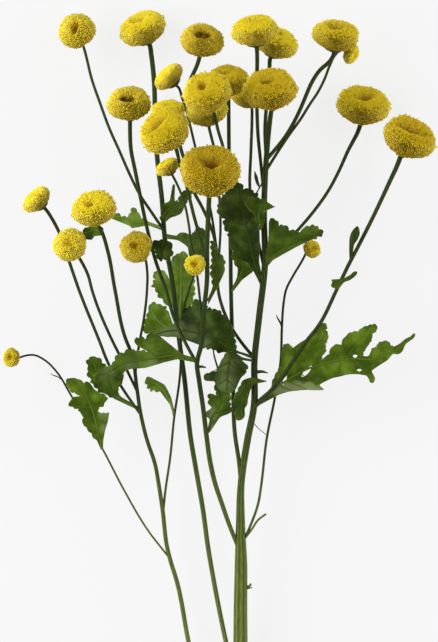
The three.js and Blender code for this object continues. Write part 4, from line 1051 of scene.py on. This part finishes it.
# leaves: points as in the stems; an edge that ends in a 0 has no teeth; the colour picks a tone that is
# partly painted light and shade
leaves = {
    "leaf_right_large": {
        "colour": "bright", "lift": (0.1, 0.22), "teeth": 0.45,
        "rib": [
            (256, 405, 25.5), (276, 388, 25), (310, 368, 26), (345, 359, 27), (378, 358, 28),
            (397, 349.5, 27.6), (408, 341, 27.2), (415, 333.5, 27)],
        "outline": [
            (252, 409, 0), (264, 402.5, 0), (277.5, 395.2, 0), (288.4, 391.5, 0), (304, 389.7, 0),
            (318, 390, 0), (325, 390, 0), (318.7, 385, 0), (324.2, 382, 0), (332, 378, 0),
            (339.7, 376.5, 0), (349.1, 374, 0), (358.4, 374, 0), (367.8, 375.7, 0), (369.5, 380),
            (371.5, 383), (374.2, 381.5), (374.8, 376.5), (371, 371, 0), (380.2, 364.8, 0), (388, 360, 0),
            (392.7, 353.5, 0), (402, 352.4), (405.5, 343.8, 0), (409, 341.5, 0), (414.5, 337.4, 0),
            (415.8, 333.2, 0), (413.7, 332.9, 0), (410.6, 336.8, 0), (405.9, 338.4, 0), (399.5, 344, 0),
            (393.5, 346.9, 0), (390.9, 346), (388, 341.2), (381.8, 341.5), (378, 344), (377, 348.5),
            (374, 347.7), (371, 350.8), (368.5, 356.6, 0), (362.3, 356, 0), (363.1, 353), (366.2, 346.1),
            (369.3, 343), (371.7, 339), (372.4, 333), (377.1, 329.8), (376.3, 324.7), (372.4, 324.7),
            (362.3, 327.5), (358.4, 332.1), (352.2, 332.1), (346, 336), (341.3, 343), (341.3, 346.3, 0),
            (338.2, 344.3), (333.5, 346.1), (329.6, 350), (329.4, 354.6), (324.5, 357.2), (321, 360.4, 0),
            (321.5, 356), (325.7, 352.4), (325.7, 348.5), (324.2, 343.8), (327.5, 340.7), (328, 334.5),
            (325.2, 329.8), (327, 327), (324.2, 322), (319.5, 325.9, 0), (307, 338.4, 0), (299.3, 343, 0),
            (292.2, 348.5, 0), (290.7, 345.4), (286, 343.8), (283.2, 346), (281.3, 352.4, 0),
            (280.6, 366.4, 0), (274, 378), (272, 384), (271, 388.5, 0), (250, 406, 0)]},
    "leaf_right_upper": {
        "colour": "middle", "lift": (0.1, 0.3),
        "rib": [(266, 261, 37.2), (285, 248, 39), (305, 236, 39), (323, 233, 37)],
        "outline": [
            (266, 264, 0), (278, 257, 0), (298, 246, 0), (313, 239, 0), (323, 233), (315, 226),
            (305, 227), (300, 233), (289, 231), (283, 225), (279, 227), (276, 220), (269, 220),
            (268.5, 240, 0), (265, 258, 0)]},
    "leaf_main_upper": {
        "colour": "dark", "lift": (0.15, 0.1),
        "rib": [(262, 288, 34.6), (255, 265, 37), (248, 235, 39), (242, 208, 40), (238, 183, 39.5)],
        "outline": [
            (263, 290, 0), (254, 272, 0), (247, 262, 0), (233, 251), (229, 238), (230, 232), (224, 226),
            (226, 219), (220, 216), (218, 208), (222, 197), (230, 190), (238, 182), (243, 190),
            (250, 190), (258, 196), (259, 212, 0), (259.6, 238, 0), (259, 262, 0), (264, 286, 0)]},
    "leaf_main_tip": {
        "colour": "middle", "lift": (0.1, 0.1),
        "rib": [(262, 228, 40), (259, 212, 43.5), (264, 205, 45), (275, 207, 45)],
        "outline": [
            (262, 230, 0), (257, 216), (248, 208), (246, 200), (254, 197), (266, 201), (275, 207, 0),
            (265, 211, 0), (265, 222, 0)]},
    "leaf_back_small": {
        "colour": "bright", "lift": (0.1, 0.1),
        "rib": [(231, 292, 25.2), (238, 280, 27), (243, 266, 29), (240, 254, 30)],
        "outline": [
            (230, 292, 0), (237, 278, 0), (238, 268, 0), (234, 261), (234, 252), (243, 257), (252, 262),
            (254, 271), (242, 280, 0), (231, 294, 0)]},
    "leaf_left_long": {
        "colour": "middle", "lift": (0.12, 0.12),
        "rib": [(197, 361, 36.5), (180, 356, 35), (150, 359, 33.4), (125, 363, 32), (108, 373, 30.5),
                (112, 397, 27.4)],
        "outline": [
            (199, 359, 0), (184, 355, 0), (178, 351, 0), (161, 337, 0), (149, 333), (146, 340),
            (135, 338), (137, 346), (151, 353, 0), (140, 351), (130, 351), (119, 355), (112, 365),
            (102, 369), (95, 380), (107, 394), (118, 399), (118, 388), (123, 381), (122, 373),
            (130, 369, 0), (145, 368, 0), (165, 362, 0), (178, 359, 0), (199, 363, 0)]},
    "leaf_left_middle": {
        "colour": "bright", "lift": (-0.05, -0.1),
        "rib": [(138, 409, 23), (120, 399, 20.5), (105, 388, 18.5), (93, 361, 18)],
        "outline": [
            (140, 411, 0), (119, 401, 0), (103, 393, 0), (93, 384), (88, 371), (88, 359), (97, 357),
            (106, 368), (112, 385, 0), (121, 397, 0), (139, 407, 0)]},
    "leaf_left_low": {
        "colour": "bright", "lift": (0.12, 0.12), "teeth": 0.6,
        "rib": [(101.5, 449, 17.2), (97, 428, 20.5), (90, 404, 23), (80, 388, 23.5), (67, 381, 23)],
        "outline": [
            (100, 448, 0), (97, 440, 0), (91.8, 433.5), (86.5, 427.5), (81.5, 419.5), (84.3, 417.5, 0),
            (78.5, 408.5), (73.5, 408.5), (73, 406.5, 0), (67.8, 404.5), (71.5, 399, 0), (75.5, 396.5),
            (81, 396, 0), (74.5, 392.5), (68.8, 389), (65.8, 381.5), (69.3, 378), (77.5, 378.8),
            (84.3, 383.8), (86.8, 381), (90.5, 383, 0), (92.5, 387, 0), (95.5, 390.5, 0), (100, 393.5),
            (106.3, 396.5), (107.5, 400), (103.5, 403.5, 0), (104.5, 407, 0), (99, 407, 0), (97.3, 411),
            (101.5, 413.5, 0), (105.5, 414), (109.2, 411.5, 0), (108.3, 420, 0), (105.2, 430, 0),
            (103.2, 440, 0), (102.8, 450, 0)]},
    "leaf_left_curved": {
        "colour": "light", "lift": (0.2, 0.2),
        "rib": [(174.5, 416, 17), (168, 398, 18.5), (160, 387, 20), (147, 380, 20.5)],
        "outline": [
            (173, 417, 0), (171, 406, 0), (160, 391, 0), (150, 389), (145, 380), (150, 377),
            (165, 385, 0), (171, 397, 0), (175.5, 416, 0)]},
    "leaf_centre_dark": {
        "colour": "dark", "lift": (0.1, -0.1),
        "rib": [
            (253, 358, 31.9), (236, 351, 33), (215, 340, 32.6), (198, 333, 30.5), (185, 331, 28.8),
            (168, 331, 27), (155, 334.5, 25.6)],
        "outline": [
            (254, 356, 0), (236, 350.5, 0), (234, 338), (230, 324), (218, 310), (207, 309), (200, 301),
            (193, 301), (192, 307, 0), (188, 308), (181, 312), (184, 321, 0), (174, 324), (163, 330, 0),
            (151, 335, 0), (163, 336.5, 0), (176, 337, 0), (189, 341, 0), (200, 345, 0), (222, 352),
            (236, 353, 0), (254, 357.4, 0)]},
    "leaf_centre_hanging": {
        "colour": "dark", "lift": (-0.25, -0.25), "teeth": 0.6,
        "rib": [(253, 361, 31.9), (240, 358, 34.2), (231, 357, 36.4), (228, 370, 36.6), (227, 391, 33.5)],
        "outline": [
            (254, 359.8, 0), (243, 357.6, 0), (234, 352, 0), (227, 352), (220, 363), (216, 372, 0),
            (209, 373),
            (203, 377), (205, 381, 0), (215, 381, 0), (218, 388), (225, 392), (234, 391), (238, 384),
            (240.5, 378, 0), (246, 373, 0), (245, 369), (248, 370, 0), (245, 363), (241, 360, 0),
            (254, 362, 0)]},
    "leaf_centre_low": {
        "colour": "middle", "lift": (0.1, 0.15),
        "rib": [(207.5, 433, 27.8), (212, 418, 28.6), (220, 405, 29.5), (222, 382, 29.5)],
        "outline": [
            (206.6, 434, 0), (210, 419, 0), (204, 413), (212, 408, 0), (209, 399), (211, 393),
            (217, 396, 0), (215, 384), (222, 379), (231, 388), (229, 402), (231, 413), (220, 417, 0),
            (208.6, 434, 0)]},
    "leaf_main_low": {
        "colour": "middle", "lift": (0.1, 0.1), "teeth": 0.5,
        "rib": [(257, 380.5, 30), (250, 382, 30.6), (244, 392, 29.6), (241, 418, 27)],
        "outline": [
            (268, 381, 0), (262, 380, 0), (256, 377.5, 0), (250, 377.5, 0), (243, 380, 0), (241, 385),
            (238, 391), (234, 399), (231, 407), (236, 407.5, 0), (234.5, 416), (240, 421), (245, 417, 0),
            (244.5, 408, 0), (248, 399), (250, 391, 0), (253, 384, 0), (262, 382.5, 0)]},
    "leaf_centre_narrow": {
        "colour": "middle", "lift": (0.15, 0.15),
        "rib": [(208, 301, 42), (215, 283, 41), (217, 264, 40.5), (213, 243, 40.5)],
        "outline": [
            (207.5, 304, 0), (213, 285, 0), (212, 270), (212.5, 258), (211.5, 240), (218, 252),
            (224, 259), (224, 273), (217, 288, 0), (208, 305, 0)]},
    "leaf_back_large": {
        "colour": "light", "lift": (0.02, 0.05),
        "rib": [(179, 325, 7.4), (180, 308, 5.4), (181, 280, 4.6), (181, 252, 4.6)],
        "outline": [
            (177, 326, 0), (175, 308, 0), (168, 306), (158, 293), (153, 284), (157, 280), (153, 274),
            (159, 271), (166, 273), (174, 288, 0), (171, 262, 0), (175, 255), (186, 252), (192, 270),
            (194, 292), (191, 306), (183, 318, 0), (180, 328, 0)]},
    "leaf_back_round": {
        "colour": "light", "lift": (0.1, 0.1),
        "rib": [(179, 335, 8.8), (168, 328, 10.5), (157, 320, 12), (150, 306, 12.5)],
        "outline": [
            (180, 338, 0), (168, 335, 0), (157, 333, 0), (143, 332), (147, 318), (151, 303), (163, 306),
            (170, 315), (173, 324, 0), (180, 333, 0)]},
    "leaf_back_right": {
        "colour": "middle", "lift": (0.1, 0.1),
        "rib": [(165, 236, 8.6), (178, 237, 13), (190, 240, 18), (203, 240, 22)],
        "outline": [
            (164, 233.5, 0), (177, 236, 0), (184, 232), (192, 236, 0), (200, 227), (206, 233),
            (206, 256), (189, 256), (188, 247, 0), (178, 240, 0), (164, 238.5, 0)]},
    "leaf_back_dark": {
        "colour": "dark", "lift": (0.1, 0.1),
        "rib": [(164.6, 240, 10.1), (163, 246, 11.6), (161, 261, 12.6)],
        "outline": [
            (163, 239.5, 0), (152, 243), (159, 260), (171, 257), (172, 250), (168, 241), (166, 239.5, 0)]},
    "leaf_back_left": {
        "colour": "light", "lift": (0.1, 0.1),
        "rib": [(164, 229, 7.6), (148, 223, 6.8), (133, 221, 6.6), (110, 214, 7.4)],
        "outline": [
            (164, 227.5, 0), (148, 221.5, 0), (141, 219), (137, 211), (132, 207), (131, 218),
            (121, 217), (111, 210), (110, 218), (130, 226, 0), (134, 228), (148, 225, 0), (164, 231, 0)]},
    "leaf_bud_side": {
        "colour": "middle", "lift": (0.2, 0.2),
        "rib": [(162.5, 222, 8.8), (168, 210, 11), (178, 205, 13.5), (193, 191, 16)],
        "outline": [
            (161.5, 222, 0), (163, 204), (170, 201, 0), (172.6, 184, 0), (175, 184, 0), (174.4, 202, 0),
            (179, 203), (182, 192), (194, 190), (184, 205), (181, 214), (170, 218, 0), (163.5, 224, 0)]},
    "bract_right_long": {
        "colour": "dark", "lift": (0.2, 0.2), "teeth": 0.25,
        "rib": [(350.5, 261, 36.2), (353, 246, 38), (356, 227, 39)],
        "outline": [
            (349.6, 262, 0), (349.3, 250, 0), (349.5, 238, 0), (352.5, 230.5), (357.2, 225.4, 0),
            (359.6, 230), (358.8, 237), (354.4, 243.5), (352.4, 250, 0), (351.6, 261, 0)]},
    "bract_right_short": {
        "colour": "middle", "lift": (0.2, 0.2), "teeth": 0.5,
        "rib": [(342, 280, 36.8), (338, 283, 37.2), (331, 286, 37)],
        "outline": [
            (358, 271.3, 0), (351, 274.4), (344, 278.4, 0), (337, 279.4, 0), (330.4, 279.6, 0),
            (333, 282.4, 0), (330, 285.6, 0), (334, 288.6, 0), (340.5, 287), (343.6, 282, 0), (352, 278.8),
            (356.8, 274.8, 0)]},
    "bract_left": {
        "colour": "bright", "lift": (0.1, 0.1),
        "rib": [(103, 233, 36), (95, 231, 33.5), (84, 233, 30.5)],
        "outline": [
            (103, 231.6, 0), (97, 226), (88, 227), (83, 234), (86, 240), (94, 236), (103, 235, 0)]},
}

# in mm
leafShape = {
    "spacing": 0.75,           # between the lines of the mesh
    "thick": 0.36,
    "toothPitch": 2.2,
    "toothReach": 0.6,
    "toothWidths": (0.55, 1.45),  # by chance, as the three below, and a share of the usual
    "toothReaches": (0.4, 1.6),
    "toothSkew": (0.7, 1.5),   # powers: which way a tooth leans, and how pointed it is
    "toothPoint": (0.75, 1.4),
    "edgeStep": 0.45,
    "edgeSmoothing": 3,        # rounds
    "loopPoints": 40,          # the most in a small loop of the edge, which is taken out
    "waveHeight": 1.3,
    "waveLength": 12,
    "waveStart": 5,            # from the rib to the full waves
    "quilt": (0.8, 1.8),       # how high the blade swells between veins, and how far from one
    "lobeReach": 3.0,          # from the rib, and makes a lobe with its own vein
    "lobeSpacing": 4.5,
    "veinLean": 0.75,          # along the rib for each mm away from it
    "veinEnd": 0.93,           # of the way to the lobe's edge
    "ribWidth": (0.4, 0.18),   # radius at the stem and at the tip
    "veinWidth": (0.19, 0.12),
    "veinShade": 0.75,
    "veinSpacing": 1.2,        # between a vein's rings
    "veinRise": 0.24,          # above the middle of the blade
    "paleEdge": (1.15, 1.3),   # of a pale place's radius: where it ends, and how softly
    "smoothBelow": 40,         # degrees
}

# places where the pale underside is folded up or the down is thick, in pixels with their radius and
# how pale they are, and holes in a blade
palePlaces = {
    "leaf_right_large": [(283, 390, 9, 1), (297, 388, 7, 1), (309, 389, 7, 1), (320, 391, 6, 1),
                         (268, 388, 9, 0.4)],
    "leaf_centre_dark": [(155, 334, 8, 0.6), (166, 331, 9, 0.6), (178, 330, 10, 0.5), (192, 334, 10, 0.4),
                         (205, 343, 9, 0.4)],
    "leaf_centre_hanging": [(228, 366, 12, 0.3), (226, 382, 12, 0.45)],
    "leaf_centre_low": [(210, 414, 8, 0.7), (210, 428, 7, 0.5)],
    "leaf_left_low": [(105, 415, 7, 0.5), (103, 428, 6, 0.5)],
    "leaf_left_long": [(107, 373, 9, 0.35), (130, 364, 9, 0.3), (150, 362, 8, 0.3)],
    "leaf_main_upper": [(246, 225, 6, 0.3), (257, 285, 9, 0.5)],
    "leaf_back_large": [(178, 262, 7, 0.4), (183, 290, 9, 0.3)],
}
leafHoles = {
    "leaf_right_large": [
        [(301, 376.5), (304, 371), (311, 365.5), (313, 366), (309, 372.5), (304, 377)],
        [(352.5, 356), (354.5, 354.3), (357.5, 355), (357, 357.5), (354, 358)],
        [(356.3, 370), (359.3, 368.6), (362.3, 370), (359.5, 371.8)],
        [(281.5, 384.5), (284, 378.5), (287, 375.5), (286.5, 380), (283.5, 385)]],
}


# a closed line without the small loops where it crosses itself
def uncrossed(ring):
    points = list(ring)
    index = 0
    while index < len(points):
        a, b = points[index], points[(index + 1) % len(points)]
        for later in range(min(leafShape["loopPoints"], len(points) - 3), 1, -1):
            c, d = points[(index + later) % len(points)], points[(index + later + 1) % len(points)]
            apart = np.cross(b - a, c - a) * np.cross(b - a, d - a) < 0
            if apart and np.cross(d - c, a - c) * np.cross(d - c, b - c) < 0:
                gone = {(index + step) % len(points) for step in range(1, later + 1)}
                points = [point for rank, point in enumerate(points) if rank not in gone]
                index = max(index - len([rank for rank in gone if rank < index]) - 1, -1)
                break
        index += 1
    return np.array(points)


# the leaf's edge in mm: a smoothed line through the traced points, scalloped where it has teeth
def leafEdge(outline, toothReach, rng):
    corners = np.array([flat(*point[:2]) for point in outline])
    base, lobes = [], []
    for index, point in enumerate(outline):
        step = corners[index] - corners[index - 1]
        length = np.linalg.norm(step)
        teeth = max(1, round(length / leafShape["toothPitch"])) if len(point) < 3 else 0
        # one tooth after another, or a plain stretch
        widths = rng.uniform(*leafShape["toothWidths"], max(teeth, 1))
        marks = np.concatenate([[0], np.cumsum(widths)]) / widths.sum()
        for start, width in zip(marks, np.diff(marks)):
            count = max(6 if teeth else 1, round(length * width / leafShape["edgeStep"]))
            reach = toothReach * rng.uniform(*leafShape["toothReaches"]) if teeth else 0
            skew = rng.uniform(*leafShape["toothSkew"])
            sharp = rng.uniform(*leafShape["toothPoint"])
            for rank in range(count):
                base.append(corners[index - 1] + step * (start + width * rank / count))
                lobes.append(math.sin(math.pi * (rank / count) ** skew) ** sharp * reach)
    base = np.array(base)
    for turn in range(leafShape["edgeSmoothing"]):
        base = (np.roll(base, 1, axis=0) + 2 * base + np.roll(base, -1, axis=0)) / 4
    step = np.roll(base, -1, axis=0) - np.roll(base, 1, axis=0)
    step /= np.linalg.norm(step, axis=1)[:, None]
    area = (base[:, 0] * np.roll(base[:, 1], -1) - np.roll(base[:, 0], -1) * base[:, 1]).sum()
    side = np.column_stack([step[:, 1], -step[:, 0]]) * (1 if area > 0 else -1)
    return uncrossed(base + side * np.array(lobes)[:, None])


# whether points lie inside a closed edge
def insideEdge(points, edge):
    x, y = points[:, :1], points[:, 1:2]
    a, b = edge, np.roll(edge, -1, axis=0)
    straddles = (a[:, 1] > y) != (b[:, 1] > y)
    rise = np.where(b[:, 1] == a[:, 1], 1e-9, b[:, 1] - a[:, 1])
    across = a[:, 0] + (y - a[:, 1]) * (b[:, 0] - a[:, 0]) / rise
    return (straddles & (x < across)).sum(axis=1) % 2 == 1


# nearest place on a line of points: distance along it and away from it, its height, and which side
def placeOn(points, line):
    best = np.full(len(points), np.inf)
    found = np.zeros((len(points), 4))
    gone = 0.0
    for a, b in zip(line, line[1:]):
        span = b[:2] - a[:2]
        length = np.linalg.norm(span)
        share = np.clip(((points - a[:2]) @ span) / length ** 2, 0, 1)
        away = np.linalg.norm(points - (a[:2] + share[:, None] * span), axis=1)
        turn = span[0] * (points[:, 1] - a[1]) - span[1] * (points[:, 0] - a[0])
        values = np.stack([gone + share * length, away, a[2] + share * (b[2] - a[2]), np.sign(turn)], axis=1)
        closer = away < best
        found[closer] = values[closer]
        best = np.minimum(best, away)
        gone += length
    return found


# side veins: from the rib to the end of every lobe
def sideVeins(edge, rib):
    place = placeOn(edge, rib)
    length = placeOn(rib[-1:, :2], rib)[0, 0]
    veins = []
    for index in np.argsort(-place[:, 1]):
        along, away = place[index][:2]
        if away < leafShape["lobeReach"]:
            break
        if any(np.linalg.norm(edge[index] - vein[-1]) < leafShape["lobeSpacing"] for vein in veins):
            continue
        start = np.clip(along - away * leafShape["veinLean"], 0.05 * length, 0.95 * length)
        marks = np.concatenate([[0.0], np.cumsum(np.linalg.norm(np.diff(rib[:, :2], axis=0), axis=1))])
        root = np.array([np.interp(start, marks, rib[:, axis]) for axis in (0, 1)])
        tip = root + (edge[index] - root) * leafShape["veinEnd"]
        middle = (root + tip) / 2
        if insideEdge(np.array([tip, middle, root * 0.75 + tip * 0.25]), edge).all():
            veins.append(np.array([root, middle, tip]))
    return veins


# how high the blade lies in mm: lifted away from the rib, waved, and swollen between the veins
def bladeHeight(points, rib, veins, form, seed):
    away, height, side = placeOn(points, rib).T[1:]
    wave = np.array([noise.noise(Vector((x, y, seed))) for x, y in points / leafShape["waveLength"]])
    wave *= 2 * leafShape["waveHeight"] * np.clip(away / leafShape["waveStart"], 0, 1)
    near = away.copy()
    for vein in veins:
        near = np.minimum(near, placeOn(points, np.column_stack([vein, np.zeros(len(vein))]))[:, 1])
    swell, reach = leafShape["quilt"]
    slope = np.where(side > 0, form["lift"][0], form["lift"][1])
    return height + away * slope + wave + swell * (1 - np.exp(-near / reach)) - 0.5 * swell


# a flat blade between its edge and its holes, cut into a grid of small faces
def makeBlade(rings):
    deselect()
    loops = []
    for ring in rings:
        bpy.ops.mesh.primitive_circle_add(vertices=len(ring), radius=1, fill_type="NOTHING",
                                          location=(0, 0, 0))
        writePoints(bpy.context.object.data, np.column_stack([ring, np.zeros(len(ring))]))
        loops.append(bpy.context.object)
    blade = joinAll(loops, "blade")
    editAll(blade)
    bpy.ops.mesh.fill(use_beauty=False)
    edge = rings[0]
    for axis in (0, 1):
        low, high = edge[:, axis].min(), edge[:, axis].max()
        for rank in range(1, int((high - low) / leafShape["spacing"]) + 1):
            cut = [0, 0, 0]
            cut[axis] = low + rank * leafShape["spacing"]
            normal = [0, 0, 0]
            normal[axis] = 1
            bpy.ops.mesh.select_all(action="SELECT")
            bpy.ops.mesh.bisect(plane_co=cut, plane_no=normal)
    bpy.ops.mesh.select_all(action="SELECT")
    bpy.ops.mesh.remove_doubles(threshold=0.02)
    bpy.ops.mesh.normals_make_consistent(inside=False)
    doneEditing()
    return blade


# a leaf: a thin blade over its rib, with the rib and the side veins raised on it
def makeLeaf(name, form, seed):
    rng = np.random.default_rng(seed)
    edge = leafEdge(form["outline"], leafShape["toothReach"] * form.get("teeth", 1), rng)
    rib = np.array([(*flat(x, y), z) for x, y, z in form["rib"]])
    veins = sideVeins(edge, rib)
    holes = [np.array([flat(*point) for point in ring]) for ring in leafHoles.get(name, [])]
    leaf = makeBlade([edge] + holes)
    points = readPoints(leaf.data)[:, :2]
    place = placeOn(points, rib)
    writePoints(leaf.data, lift(points, bladeHeight(points, rib, veins, form, seed)) * mm)
    layer = leaf.data.uv_layers.new(name="rib")
    corners = np.empty(len(leaf.data.loops), int)
    leaf.data.loops.foreach_get("vertex_index", corners)
    values = np.column_stack([place[:, 0], place[:, 1] * place[:, 3]])[corners] / 10
    layer.data.foreach_set("uv", values.astype(np.float32).ravel())
    if sum(polygon.normal.z * polygon.area for polygon in leaf.data.polygons) < 0:
        leaf.data.flip_normals()
    wall = leaf.modifiers.new("blade", "SOLIDIFY")
    wall.thickness = leafShape["thick"] * mm
    wall.offset = 0
    applyAll(leaf)
    # the face that lies lower is the pale underside, and so are the pale places
    half = len(points)
    heights = readPoints(leaf.data)[:, 2]
    lower = heights[:half] > heights[half:2 * half]
    below = np.concatenate([~lower, lower, np.zeros(len(heights) - 2 * half)]).astype(float)
    for x, y, radius, amount in palePlaces.get(name, []):
        away = np.linalg.norm(points - flat(x, y), axis=1) * view["headPixels"] / view["headAcross"] / radius
        end, soft = leafShape["paleEdge"]
        pale = np.clip((end - away) / (soft - amount), 0, 1) * amount
        below[:2 * half] = np.maximum(below[:2 * half], np.tile(pale, 2))
    paint(leaf.data, "underside", "FLOAT", below)
    paint(leaf.data, "midrib", "FLOAT", np.zeros(len(heights)))
    parts = [leaf]
    lines = [(rib[:, :2], leafShape["ribWidth"], 1.0)]
    lines += [(vein, leafShape["veinWidth"], leafShape["veinShade"]) for vein in veins]
    for line, widths, shade in lines:
        spine, widths = smoothLine([(*point, 0) for point in line], widths, leafShape["veinSpacing"])
        spine = spine[:, :2]
        height = bladeHeight(spine, rib, veins, form, seed) + leafShape["veinRise"]
        tube = sweep(f"{name}_rib", lift(spine, height), widths, roundProfile)
        paint(tube.data, "midrib", "FLOAT", np.full(len(tube.data.vertices), shade))
        paint(tube.data, "underside", "FLOAT", np.zeros(len(tube.data.vertices)))
        parts.append(tube)
    for sprout in sprouts.get(name, []):
        parts.append(makeSprout(name, sprout))
        for kind in ("midrib", "underside"):
            paint(parts[-1].data, kind, "FLOAT", np.zeros(len(parts[-1].data.vertices)))
    return joinAll(parts, f"blade_{name}")


print("leaves")
roundProfile = makeProfile("veinRound", [(math.cos(a), math.sin(a)) for a in np.arange(6) * math.pi / 3])
for seed, (name, form) in enumerate(leaves.items()):
    leaf = makeLeaf(name, form, seed * 7)
    pick(leaf)
    bpy.ops.object.shade_smooth_by_angle(angle=math.radians(leafShape["smoothBelow"]))
    finishPiece(leaf, leafSkins[form["colour"]], [name])
for profile in (stemProfile, roundProfile):
    bpy.data.objects.remove(profile)

stage = {
    "size": 4.0,            # m
    "floor": "#f4f4f4",
    "glow": 0.86,           # share of the floor's own light, so that shadows stay faint
    "sky": [(0.0, "#ffffff"), (0.4, "#d4d4d4"), (1.0, "#505050")],  # from the horizon, 0, to overhead, 1
    "lights": [{"at": (-1.0, 0.25, 0.7), "size": 1.4, "watts": 22.5},
               {"at": (1.0, 0.0, 0.7), "size": 1.4, "watts": 10.8}],
}


def addStage():
    deselect()
    bpy.ops.mesh.primitive_plane_add(size=stage["size"], location=(0, 0, 0))
    floor = bpy.context.object
    floor.name = "paleFloor"
    material = bpy.data.materials.new("matPaper")
    material.use_nodes = True
    tree = material.node_tree
    tree.nodes.clear()
    paper = addNode(tree, "ShaderNodeBsdfDiffuse", {0: linear(stage["floor"])})
    glow = addNode(tree, "ShaderNodeEmission", {0: linear(stage["floor"]), 1: 1.0})
    both = addNode(tree, "ShaderNodeMixShader", {0: stage["glow"], 1: paper.outputs[0], 2: glow.outputs[0]})
    addNode(tree, "ShaderNodeOutputMaterial", {"Surface": both.outputs[0]})
    floor.data.materials.append(material)
    world = bpy.data.worlds.new("softStudio")
    world.use_nodes = True
    tree = world.node_tree
    way = addNode(tree, "ShaderNodeTexCoord")
    split = addNode(tree, "ShaderNodeSeparateXYZ", {0: way.outputs["Generated"]})
    sky = addNode(tree, "ShaderNodeValToRGB", {0: split.outputs[2]}, stage["sky"])
    tree.links.new(sky.outputs[0], tree.nodes["Background"].inputs[0])
    bpy.context.scene.world = world
    for rank, lamp in enumerate(stage["lights"]):
        data = bpy.data.lights.new(f"softLight{rank}", "AREA")
        data.size = lamp["size"]
        data.energy = lamp["watts"]
        light = bpy.data.objects.new(f"softLight{rank}", data)
        light.location = lamp["at"]
        light.rotation_euler = (-Vector(lamp["at"])).to_track_quat("-Z", "Y").to_euler()
        bpy.context.scene.collection.objects.link(light)
    bpy.context.scene.view_settings.view_transform = "Standard"


print("stage")
addStage()
